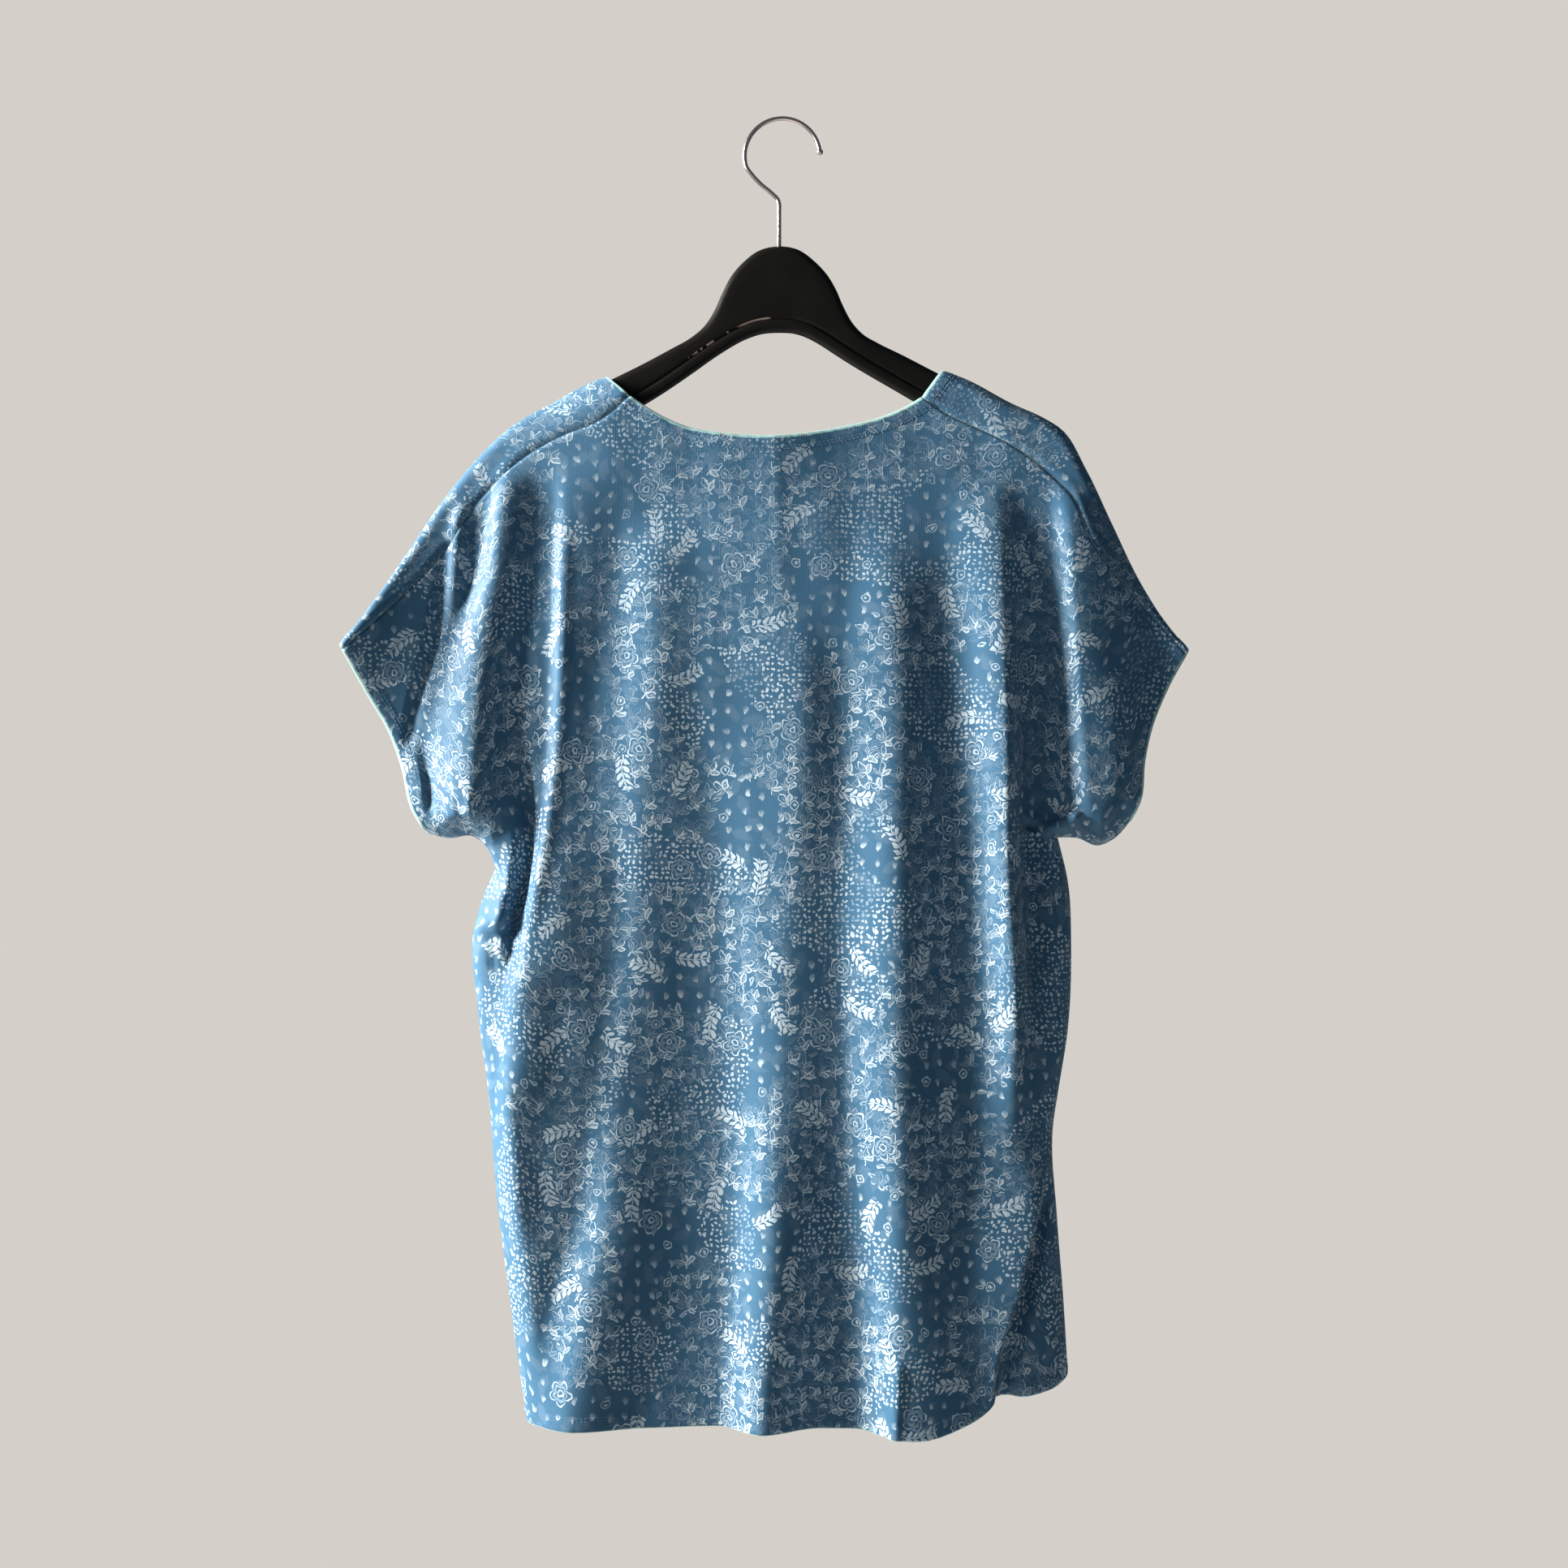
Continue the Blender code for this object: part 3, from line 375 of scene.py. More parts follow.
def closeAtEnds(width, steps, columns):
    inner = np.linspace(steps[-1], width - steps[-1], columns - 2 * (len(steps) - 1) + 1)
    return np.concatenate([steps[:-1], inner, width - np.array(steps[:-1])[::-1]])


def bodyPlaces(width):
    return closeAtEnds(width, shirtMesh["edgeSteps"],
                       2 * shirtMesh["shoulderColumns"] + shirtMesh["neckColumns"])


def closeAtStart(start, step, ends, count):
    # shares from 0 to 1 with small even steps up to start, then even ones; ends closes the far side too
    first = np.arange(0.0, start, step)
    last = 1 - np.arange(0.0, ends, step)[::-1] if ends else np.array([1.0])
    return np.concatenate([first, np.linspace(start, last[0], count, endpoint=False), last])


def followFold(flat, rows):
    # leans the columns near a slanting fold, so that one runs down its ridge, and gathers others to it
    mesh = shirtMesh
    knots, ridges = [row[0] for row in rows], [row[1] for row in rows]
    x, z = flat[..., 0], flat[..., 1]
    first, last = mesh["leanReach"]
    middle = ridges[-1] + mesh["leanOffset"]
    ridge = eased(z, knots, ridges)
    lowerDown = softStep((mesh["leanStart"] - z) / mesh["leanLength"])
    share = np.clip(np.minimum((x - first) / (middle - first), (last - x) / (last - middle)), 0, 1)
    moved = x + (ridge - middle) * lowerDown * share
    away = moved - ridge
    near = np.exp(-(away / mesh["gatherReach"]) ** 2) * lowerDown
    flat[..., 0] = moved - mesh["gather"] * away * near * share
    return flat


def hemRow(hem):
    places = hem[0, 0] + bodyPlaces(hem[-1, 0] - hem[0, 0])
    return np.stack([places, np.interp(places, hem[:, 0], hem[:, 1])], axis=1)


def sleeveShares():
    return closeAtStart(*shirtMesh["sleeveClose"], shirtMesh["sleeveColumns"])


def topRow(edges, neck, reach):
    rows = []
    for side, line in enumerate(edges):
        bend = shareAtX(line, reach[side])
        outer = atShares(line, 1 - sleeveShares() * (1 - bend))
        inner = atShares(line, bend * (1 - np.linspace(0, 1, shirtMesh["shoulderColumns"] + 1)))
        rows.append(np.concatenate([outer[:-1], inner]))
    middle = atLengths(neck, closeAtEnds(lengthsAlong(neck)[-1], shirtMesh["neckSteps"],
                                         shirtMesh["neckColumns"]))
    return np.concatenate([rows[0][:-1], middle, rows[1][::-1][1:]])


def clothBlocks(shape):
    # the six patches as points (x, y, z), each with its panel, the side it lies on and its facing
    underarm = [line[-1] for line in shape.under]
    reach = (underarm[0][0], underarm[1][0])
    places = bodyPlaces(np.linalg.norm(underarm[1] - underarm[0]))
    level = underarm[0] + (underarm[1] - underarm[0]) * (places / places[-1])[:, None]
    sleeve = [atShares(line, sleeveShares()) for line in shape.under]
    underRow = np.concatenate([sleeve[0][:-1], level, sleeve[1][::-1][1:]])
    upperRows = closeAtStart(*shirtMesh["upperClose"], shirtMesh["upperRows"])
    lowerRows = 1 - closeAtStart(*shirtMesh["lowerClose"], shirtMesh["lowerRows"])[::-1]

    def solid(flat, side):
        points = flat.reshape(-1, 2)
        y = shape.depth(points[:, 0], points[:, 1], side) * (-1 if side == "back" else 1)
        y = y - bendAt(points[:, 0], points[:, 1])
        return np.stack([points[:, 0], y, points[:, 1]], axis=1).reshape(flat.shape[:2] + (3,))

    def upper(edges, neck, cuffStarts):
        top = topRow(edges, neck, reach)
        sides = []
        for cuff, start in zip(shape.cuff, cuffStarts):
            stretch = atShares(cuff, np.linspace(start, 1.0, shirtMesh["cuffSteps"]))
            sides.append(atShares(stretch, upperRows))
            sides[-1][0] = stretch[0]
        top[0], top[-1] = sides[0][0], sides[1][0]
        across = (sharesOf(underRow) + sharesOf(top)) / 2
        return filledPatch(top, underRow, sides[0], sides[1], across, upperRows)

    def lower(hem, guide=None):
        bottom = hemRow(hem)
        sides = [atShares(line, lowerRows) for line in shape.side]
        sides[0][-1], sides[1][-1] = bottom[0], bottom[-1]
        flat = filledPatch(level, bottom, sides[0], sides[1], sharesOf(level), lowerRows)
        return followFold(flat, guide) if guide else flat

    starts = [shirtCut["seamEndBelowTip"] / lengthsAlong(cuff)[-1] for cuff in shape.cuff]
    backUpper = upper(shape.seam, shape.neckBack, starts)
    frontUpper = upper(shape.shoulder, shape.neckFront, (0.0, 0.0))
    count = len(sleeveShares()) + shirtMesh["shoulderColumns"]
    share = np.linspace(0, 1, shirtMesh["wrapRows"]) ** shirtMesh["wrapCrowding"]
    wraps = []
    for part in (slice(0, count), slice(-count, None)):
        over, seam = frontUpper[0, part], backUpper[0, part]
        wraps.append(over[None] * (1 - share[:, None, None]) + seam[None] * share[:, None, None])
    return [
        ("back", "back", False, solid(backUpper, "back")),
        ("back", "back", False, solid(lower(shape.hemBack, backFolds["lowerRight"]), "back")),
        ("front", "back", False, solid(wraps[0], "back")),
        ("front", "back", False, solid(wraps[1], "back")),
        ("front", "front", True, solid(frontUpper, "front")),
        ("front", "front", True, solid(lower(shape.hemFront), "front")),
    ]


cutGrid = {"step": 4.0, "x": (-332.0, 333.0), "z": (-972.0, -172.0), "level": -560.0}


class CutPlaces:
    # where a point of the hanging cloth lay on the flat cut: lengths measured over the folds
    def __init__(self, shape):
        step = cutGrid["step"]
        self.x = np.arange(*cutGrid["x"], step)
        self.z = np.arange(*cutGrid["z"], step)
        self.level = int(np.searchsorted(self.z, cutGrid["level"]))
        self.middle = int(np.searchsorted(self.x, 0.0))
        self.tables = {}
        gridX, gridZ = np.meshgrid(self.x, self.z, indexing="ij")
        for side in ("back", "front"):
            y = shape.depth(gridX.ravel(), gridZ.ravel(), side).reshape(gridX.shape)
            overX = np.hypot(np.diff(y, axis=0), step)
            overZ = np.hypot(np.diff(y, axis=1), step)
            u = np.concatenate([np.zeros((1, len(self.z))), np.cumsum(overX, axis=0)])
            v = np.concatenate([np.zeros((len(self.x), 1)), np.cumsum(overZ, axis=1)], axis=1)
            u = u - u[self.middle] + self.x[self.middle]
            v = v - v[:, [self.level]] + self.z[self.level]
            self.tables[side] = (u, v)
        self.crest = np.concatenate([shape.shoulder[0][::-1], shape.shoulder[1]])

    def lookUp(self, side, x, z):
        i = np.clip((x - self.x[0]) / cutGrid["step"], 0, len(self.x) - 1.001)
        k = np.clip((z - self.z[0]) / cutGrid["step"], 0, len(self.z) - 1.001)
        i0, k0 = i.astype(int), k.astype(int)
        partI, partK = i - i0, k - k0
        found = []
        for table in self.tables[side]:
            low = table[i0, k0] * (1 - partI) + table[i0 + 1, k0] * partI
            high = table[i0, k0 + 1] * (1 - partI) + table[i0 + 1, k0 + 1] * partI
            found.append(low * (1 - partK) + high * partK)
        return np.stack(found, axis=-1)

    def cutOf(self, panel, side, x, z):
        if panel == side:
            return self.lookUp(side, x, z)
        # over the shoulder the front's cloth goes straight on from the nearest place of the crest
        spots = np.stack([x, z], axis=-1)
        fromStart = spots[:, None] - self.crest[:-1]
        run = np.diff(self.crest, axis=0)
        along = np.clip((fromStart * run).sum(-1) / (run * run).sum(-1), 0, 1)
        gap = fromStart - along[..., None] * run
        nearest = (gap * gap).sum(-1).argmin(axis=1)
        gap = gap[np.arange(len(spots)), nearest]
        foot = spots - gap
        return self.lookUp("front", foot[:, 0], foot[:, 1]) - gap


def weld(blocks, places):
    # one list of points for all the patches, and each panel's quads and places on its cut
    points = np.concatenate([block.reshape(-1, 3) for *_, block in blocks])
    _, first, index = np.unique(np.round(points, 3), axis=0, return_index=True, return_inverse=True)
    index = index.reshape(-1)
    quads = {name: [] for name in shirtSides}
    cuts = {name: np.zeros((len(first), 2)) for name in shirtSides}
    start = 0
    for panel, side, turned, block in blocks:
        rows, columns = block.shape[:2]
        flat = block.reshape(-1, 3)
        number = index[start:start + rows * columns]
        start += rows * columns
        cuts[panel][number] = places.cutOf(panel, side, flat[:, 0], flat[:, 2])
        grid = number.reshape(rows, columns)
        corners = [grid[:-1, :-1], grid[1:, :-1], grid[1:, 1:], grid[:-1, 1:]]
        if turned:
            corners.reverse()
        quads[panel].append(np.stack(corners, axis=-1).reshape(-1, 4))
    return points[first], {panel: np.concatenate(parts) for panel, parts in quads.items()}, cuts


def unitRows(vectors):
    return vectors / np.maximum(np.linalg.norm(vectors, axis=1, keepdims=True), smallest)


def pointNormals(points, quads):
    normals = np.zeros_like(points)
    across = np.cross(points[quads[:, 2]] - points[quads[:, 0]], points[quads[:, 3]] - points[quads[:, 1]])
    for corner in range(4):
        np.add.at(normals, quads[:, corner], across)
    return unitRows(normals)


def borderOf(quads):
    ends = np.concatenate([quads[:, [k, (k + 1) % 4]] for k in range(4)])
    _, index, count = np.unique(np.sort(ends, axis=1), axis=0, return_inverse=True, return_counts=True)
    return ends[count[index.reshape(-1)] == 1]


def amongEdges(edges, others):
    known = {tuple(sorted(pair)) for pair in others.tolist()}
    return np.array([tuple(sorted(pair)) in known for pair in edges.tolist()])


def inwardAt(points, normals, quads, border):
    # in the cloth's surface, straight away from its border, at the border's points
    centres = points[quads].mean(axis=1)
    pull, along = np.zeros_like(points), np.zeros_like(points)
    for corner in range(4):
        np.add.at(pull, quads[:, corner], centres - points[quads[:, corner]])
    runs = unitRows(points[border[:, 1]] - points[border[:, 0]])
    for end in range(2):
        np.add.at(along, border[:, end], runs)
    rim = np.unique(border)
    for direction in (along, normals):
        unit = unitRows(direction[rim])
        pull[rim] -= (pull[rim] * unit).sum(1, keepdims=True) * unit
    inward = np.zeros_like(points)
    inward[rim] = unitRows(pull[rim])
    return inward


def nearRuns(points, edges, among, limit):
    # distance to the nearest of some edges, worked out only near them
    found = np.full(len(points), limit)
    if not len(edges):
        return found
    starts, ends = points[edges[:, 0]], points[edges[:, 1]]
    low, high = np.minimum(starts, ends).min(0) - limit, np.maximum(starts, ends).max(0) + limit
    close = among[((points[among] > low) & (points[among] < high)).all(axis=1)]
    cells = {tuple(cell) for cell in np.floor(np.concatenate([starts, ends]) / limit).astype(int).tolist()}
    steps = [(a, b, c) for a in (-1, 0, 1) for b in (-1, 0, 1) for c in (-1, 0, 1)]
    wide = {(a + i, b + j, c + k) for a, b, c in cells for i, j, k in steps}
    own = np.floor(points[close] / limit).astype(int).tolist()
    close = close[np.array([tuple(cell) in wide for cell in own])]
    found[close] = np.minimum(distanceToRuns(starts, ends, points[close], 1500), limit)
    return found


sewnEdges = {
    "needleLines": (7.7, 10.0), "needleDepth": 0.24, "needleWidth": 0.6,
    "bandRise": 0.30, "bandSlope": 1.4, "thickSlope": 1.2, "edgeDrop": 0.30, "edgeWidth": 0.9,
    "pucker": 0.10, "puckerLength": 1.25, "puckerSlant": 0.8, "puckerFade": 6.0,
    "seamDrop": 1.3, "seamRoll": 2.4, "allowance": 0.28, "allowanceWidth": 7.5, "allowanceSlope": 1.6,
    "crossing": 0.7, "crossingAt": 5.0, "crossingReach": 9.0, "reach": 16.0, "behind": -0.5,
}


def turnedBand(openAway, slope):
    # 1 on the turned edge, 0 past it
    return softStep((shirtForm["hemWidth"] + slope / 2 - openAway) / slope)


def sewnRelief(points, openAway, seamAway, wrapSide):
    # what the turned edges and the seams add to the outer face
    sewn = sewnEdges
    band = sewn["bandRise"] * turnedBand(openAway, sewn["bandSlope"])
    slant = (points[:, 0] * sewn["puckerSlant"] + points[:, 2]) / sewn["puckerLength"]
    pucker = sewn["pucker"] * np.sin(slant) * turnedBand(openAway, sewn["puckerFade"])
    edge = -sewn["edgeDrop"] * np.clip(1 - openAway / sewn["edgeWidth"], 0, 1) ** 2
    needles = sum(np.exp(-((openAway - line) / sewn["needleWidth"]) ** 2) for line in sewn["needleLines"])
    roll = np.clip(1 - seamAway / sewn["seamRoll"], 0, 1)
    allowance = (sewn["allowance"] * wrapSide
                 * softStep((sewn["allowanceWidth"] - seamAway) / sewn["allowanceSlope"]))
    fromCrossing = np.hypot(openAway - sewn["crossingAt"], seamAway)
    crossing = sewn["crossing"] * softStep(1 - fromCrossing / sewn["crossingReach"])
    return (band + pucker + edge - sewn["needleDepth"] * needles
            - sewn["seamDrop"] * roll * roll + allowance + crossing)


def panelShell(points, normals, quads, border, seamEdges, relief, thickness, inward):
    # the outer face, the inner one behind it, and a rounded rim between them
    used = np.unique(quads)
    number = np.full(len(points), -1)
    number[used] = np.arange(len(used))
    shift = np.zeros_like(points)
    onSeam = np.unique(seamEdges)
    shift[onSeam] = inward[onSeam] * shirtForm["seamGap"]
    outer = points + shift + normals * relief[:, None]
    inner = outer - normals * thickness[:, None]
    outside = number[quads]
    inside = outside[:, ::-1] + len(used)
    rimPoints = np.unique(border)
    half = thickness[rimPoints, None] / 2
    turns = shirtForm["rimTurns"]
    layers = []
    for turn in turns:
        angle = math.radians(turn)
        layers.append((outer[rimPoints] + inner[rimPoints]) / 2 + normals[rimPoints] * half * math.cos(angle)
                      - inward[rimPoints] * half * shirtForm["rimRound"] * math.sin(angle))
    place = np.full(len(points), -1)
    place[rimPoints] = np.arange(len(rimPoints))
    base = 2 * len(used)
    a, b = border[:, 0], border[:, 1]
    ladder = [(number[a], number[b])]
    for k in range(len(turns)):
        offset = base + k * len(rimPoints)
        ladder.append((place[a] + offset, place[b] + offset))
    ladder.append((number[a] + len(used), number[b] + len(used)))
    rim = [np.stack([hiB, hiA, loA, loB], axis=1)
           for (hiA, hiB), (loA, loB) in zip(ladder[:-1], ladder[1:])]
    allPoints = np.concatenate([outer[used], inner[used]] + layers)
    owner = np.concatenate([used, used] + [rimPoints] * len(turns))
    faces = np.concatenate([outside, inside] + rim)
    slots = np.concatenate([np.zeros(len(outside), int), np.ones(len(inside), int),
                            np.full(len(rim) * len(border), 2)])
    return allPoints, faces, slots, owner


def addMesh(name, points, faces, surfaces, slots=None, cut=None, numbers=None, smooth=True):
    mesh = bpy.data.meshes.new(name)
    if isinstance(faces, np.ndarray):
        faces = faces.tolist()
    mesh.from_pydata((np.asarray(points) * mm).tolist(), [], faces)
    for surface in surfaces:
        mesh.materials.append(surface)
    if slots is not None:
        mesh.polygons.foreach_set("material_index", np.asarray(slots, np.int32))
    mesh.polygons.foreach_set("use_smooth", np.full(len(mesh.polygons), smooth))
    if cut is not None:
        corner = np.empty(len(mesh.loops), np.int32)
        mesh.loops.foreach_get("vertex_index", corner)
        layer = mesh.uv_layers.new(name="cut")
        layer.data.foreach_set("uv", (np.asarray(cut)[corner] * mm).astype(np.float32).ravel())
    for key, values in (numbers or {}).items():
        attribute = mesh.attributes.new(key, "FLOAT", "POINT")
        attribute.data.foreach_set("value", np.asarray(values, np.float32))
    mesh.update()
    made = bpy.data.objects.new(name, mesh)
    bpy.context.scene.collection.objects.link(made)
    return made


def contour(quads, values, level):
    # lines over a panel along which a value keeps one level, each as the edges that it crosses
    tris = np.concatenate([quads[:, [0, 1, 2]], quads[:, [0, 2, 3]]])
    tris = tris[(values[tris].min(1) < level) & (values[tris].max(1) >= level)]
    above = values >= level
    steps = {}
    for tri in tris.tolist():
        cuts = []
        for a, b in ((tri[0], tri[1]), (tri[1], tri[2]), (tri[2], tri[0])):
            if above[a] != above[b]:
                cuts.append((min(a, b), max(a, b)))
        for one, other in (cuts, cuts[::-1]):
            steps.setdefault(one, []).append(other)
    lines, seen = [], set()
    for start in sorted(steps, key=lambda key: len(steps[key])):
        if start in seen:
            continue
        line, here = [start], start
        seen.add(start)
        while True:
            following = [key for key in steps[here] if key not in seen]
            if not following:
                break
            here = following[0]
            seen.add(here)
            line.append(here)
        lines.append(line)
    return lines


def stitchesAlong(path, normals, sewing):
    # short bent tubes one after another along a line on the cloth
    along = lengthsAlong(path)
    points, faces = [], []
    pitch, sides = sewing["length"] + sewing["gap"], sewing["sides"]
    count = int(along[-1] // pitch)
    shares = np.linspace(0, 1, sewing["rings"])
    lift = np.sin(np.pi * shares)
    for k in range(count):
        at = k * pitch + sewing["length"] * shares
        centre = np.stack([np.interp(at, along, path[:, c]) for c in range(3)], axis=1)
        normal = unitRows(np.stack([np.interp(at, along, normals[:, c]) for c in range(3)], axis=1))
        ahead = unitRows(np.gradient(centre, axis=0))
        across = unitRows(np.cross(ahead, normal))
        centre = centre + normal * (sewing["lift"] * lift - sewing["sink"])[:, None]
        start = len(points)
        for c, n, s, size in zip(centre, normal, across, sewing["ends"] + sewing["swell"] * lift):
            for turn in range(sides):
                angle = 2 * math.pi * turn / sides
                points.append(c + (n * math.cos(angle) + s * math.sin(angle)) * sewing["radius"] * size)
        for ring in range(sewing["rings"] - 1):
            for turn in range(sides):
                a, b = start + ring * sides + turn, start + ring * sides + (turn + 1) % sides
                faces.append((a, b, b + sides, a + sides))
        faces.append(tuple(range(start + sides - 1, start - 1, -1)))
        faces.append(tuple(range(start + (sewing["rings"] - 1) * sides, start + sewing["rings"] * sides)))
    return points, faces


class Wire:
    # a socket that can be reckoned with: each sum on it adds its Math node
    def __init__(self, surface, socket):
        self.surface = surface
        self.socket = socket

    def also(self, output):
        return Wire(self.surface, self.socket.node.outputs[output])

    def maths(self, operation, *values):
        return self.surface.add("ShaderNodeMath", {"operation": operation}, *values)

    def __add__(self, other):
        return self.maths("ADD", self, other)

    def __radd__(self, other):
        return self.maths("ADD", other, self)

    def __sub__(self, other):
        return self.maths("SUBTRACT", self, other)

    def __rsub__(self, other):
        return self.maths("SUBTRACT", other, self)

    def __mul__(self, other):
        return self.maths("MULTIPLY", self, other)

    def __rmul__(self, other):
        return self.maths("MULTIPLY", other, self)

    def __truediv__(self, other):
        return self.maths("DIVIDE", self, other)

    def __rtruediv__(self, other):
        return self.maths("DIVIDE", other, self)

    def __pow__(self, other):
        return self.maths("POWER", self, other)

    def __abs__(self):
        return self.maths("ABSOLUTE", self)

    def __gt__(self, other):
        return self.maths("GREATER_THAN", self, other)

    def __lt__(self, other):
        return self.maths("LESS_THAN", self, other)

    def lowest(self, other):
        return self.maths("MINIMUM", self, other)

    def highest(self, other):
        return self.maths("MAXIMUM", self, other)

    def clamped(self):
        return self.surface.add("ShaderNodeMath", {"operation": "ADD", "use_clamp": True}, self, 0.0)

    def ramp(self, gain, start):
        # 0 at first, then up to 1
        return (self * gain - start).clamped()


class Surface:
    # a material with its Principled shader: constants go on the sockets, wires are fed to them
    def __init__(self, name, **constants):
        self.material = bpy.data.materials.new(name)
        self.material.use_nodes = True
        self.tree = self.material.node_tree
        self.shader = self.tree.nodes["Principled BSDF"]
        for key, value in constants.items():
            self.shader.inputs[key.replace("_", " ")].default_value = value

    def add(self, kind, settings, *values, output=0, **named):
        node = self.tree.nodes.new(kind)
        for key, value in settings.items():
            setattr(node, key, value)
        for place, value in list(enumerate(values)) + list(named.items()):
            socket = node.inputs[place]
            if isinstance(value, Wire):
                self.tree.links.new(value.socket, socket)
            else:
                socket.default_value = value
        return Wire(self, node.outputs[output])

    def feed(self, name, wire):
        self.tree.links.new(wire.socket, self.shader.inputs[name])

    def vector(self, operation, *values):
        return self.add("ShaderNodeVectorMath", {"operation": operation}, *values)

    def scaled(self, vector, factor):
        return self.add("ShaderNodeVectorMath", {"operation": "SCALE"}, vector, Scale=factor)

    def spot(self):
        # the place on the object, in metres
        return self.add("ShaderNodeTexCoord", {}, output=3)

    def parts(self, vector):
        first = self.add("ShaderNodeSeparateXYZ", {}, vector)
        return first, first.also(1), first.also(2)

    def colourMix(self, factor, one, other):
        node = self.add("ShaderNodeMix", {"data_type": "RGBA"}, output=2)
        sockets = node.socket.node.inputs
        for place, value in ((0, factor), (6, one), (7, other)):
            if isinstance(value, Wire):
                self.tree.links.new(value.socket, sockets[place])
            elif place:
                sockets[place].default_value = (*value, 1.0)
            else:
                sockets[place].default_value = value
        return node

    def noise(self, vector, scale, detail=1.0, rough=0.5, dimensions="2D"):
        return self.add("ShaderNodeTexNoise", {"noise_dimensions": dimensions}, Vector=vector,
                        Scale=scale, Detail=detail, Roughness=rough)


printLook = {
    "ink": (0.62, 0.73, 0.78), "cloth": (0.046, 0.138, 0.232), "strength": 0.92, "blur": 0.30,
    # hand-drawn edges, and a dry brush: how much ink it leaves at least, and how much more
    "wobbleSize": 4.2, "wobble": 2.6, "brushSize": 1.6, "brush": (0.38, 1.25),
    # patches: leaves grow above one level of a slow noise, dots and seeds below it
    "patchSize": 88.0, "leafFrom": 0.475, "overlap": 0.02, "seedTo": 0.475, "seedPatch": (431.0, 74.0),
    # the ink is paler at the shoulders
    "paler": 0.60, "fadeFrom": -230.0, "fadeOver": 300.0,
}

# each motif: the size of its cells, how far it strays in them and where they start, then its own sizes
motifs = {
    "blossom": {"cells": (68.0, 0.8, 7.9), "leftOut": 0.25, "turn": 6.0, "petals": 5, "rim": 5.0,
                "petal": 3.8, "petalShape": 0.6, "line": 0.25, "thicker": 0.3, "eye": 1.9, "eyeLine": 0.42,
                "shadeAt": 0.62, "shadeLine": 0.9, "shadeBlur": 0.6, "shade": 0.34, "clear": 1.3},
    "spray": {"cells": (60.0, 0.75, 3.3), "leftOut": 0.2, "turn": 6.2, "bend": 0.014, "aside": 1.2,
              "pairs": 4.9, "leafOut": 2.9, "leafTurn": 0.72, "leaf": (3.5, 1.40), "leafEnd": 12.4,
              "stem": 0.40, "stemEnd": 13.5, "clear": 1.4},
    "ring": {"cells": (25.0, 0.7, 2.2), "leftOut": 0.62, "radius": 2.9, "line": 0.42, "eye": 1.1,
             "tone": 0.5, "clear": 4.2},
    "sprig": {"cells": (11.6, 0.74, 0.0), "turn": 2.4, "grown": (1.16, 0.34), "leaf": (4.6, 2.15),
              "rise": 2.2, "sideLeaf": (4.1, 1.95), "sideOut": 3.2, "sideDrop": 1.1, "sideTurn": 0.98,
              "tone": (0.30, 0.80), "toneRamp": (2.0, 0.35), "inside": 0.50, "line": 0.24, "slant": 0.10,
              "lineTo": (0.14, 0.52), "fillInside": 1.5, "fillBlur": 0.7, "fill": (0.42, 0.16),
              "stem": 0.36, "stemAt": 4.4, "stemHalf": 1.9, "clear": 0.7},
    "single": {"cells": (7.4, 0.85, 12.6), "turn": 4.4, "leaf": (3.7, 1.55), "inside": 0.30, "line": 0.28,
               "fillInside": 0.2, "fill": 0.8, "tone": (0.12, 0.80), "toneRamp": (2.6, 1.4)},
    "dot": {"cells": (3.9, 0.55, 5.1), "turn": 3.1, "wide": 1.25, "long": 0.72, "radius": (0.78, 0.42),
            "thinPatch": (97.0, 28.0), "tone": (0.36, 0.64), "toneRamp": (5, 1.7)},
    "seed": {"cells": (12.2, 0.34, 9.4), "turn": 0.7, "leaf": (3.9, 1.85), "blur": 0.5, "fill": (0.52, 0.22),
             "tone": (0.40, 0.60)},
    "ghost": {"cells": (19.0, 0.85, 17.3), "turn": 6.2, "leaf": (8.5, 3.8), "blur": 1.6, "tone": 0.06},
}


def inkEdge(distance, blur=None):
    # 1 inside a shape, 0 outside it, with a soft edge
    return (0.5 - distance / (blur or printLook["blur"])).clamped()


def lens(x, y, halfLength, halfWidth):
    # distance to a pointed oval along y
    radius = (halfLength ** 2 + halfWidth ** 2) / (2 * halfWidth)
    side = abs(x) + (radius - halfWidth)
    return (side * side + y * y) ** 0.5 - radius


class Cells:
    # scattered places, with the point's own position in the cell that it lies in
    def __init__(self, surface, place, size, strays, shift):
        self.surface = surface
        start = (shift, shift * 1.7, 0)
        moved = surface.vector("ADD", surface.scaled(place, 1 / size), start)
        found = surface.add("ShaderNodeTexVoronoi", {"voronoi_dimensions": "2D", "feature": "F1"},
                            Vector=moved, Scale=1.0, Randomness=strays)
        centre = found.also("Position")
        self.local = surface.scaled(surface.vector("SUBTRACT", moved, centre), size)
        self.random = surface.parts(found.also("Color"))
        self.centre = surface.scaled(surface.vector("SUBTRACT", centre, start), size)

    def upright(self):
        return self.surface.parts(self.local)[:2]

    def turned(self, angle):
        spun = self.surface.add("ShaderNodeVectorRotate", {"rotation_type": "Z_AXIS"},
                                Vector=self.local, Angle=angle)
        return self.surface.parts(spun)[:2]

    def swayed(self, turn):
        # turned by up to half of turn either way
        return self.turned((self.random[0] - 0.5) * turn)

    def patch(self, shift=0.0, size=printLook["patchSize"]):
        # slow noises share the cloth out between leaves, dots and seeds
        moved = self.surface.vector("ADD", self.centre, (shift, 0.2 * shift, 0)) if shift else self.centre
        return self.surface.noise(moved, 1 / size, 0.0)


def turnedBy(x, y, angle):
    return x * math.cos(angle) - y * math.sin(angle), x * math.sin(angle) + y * math.cos(angle)


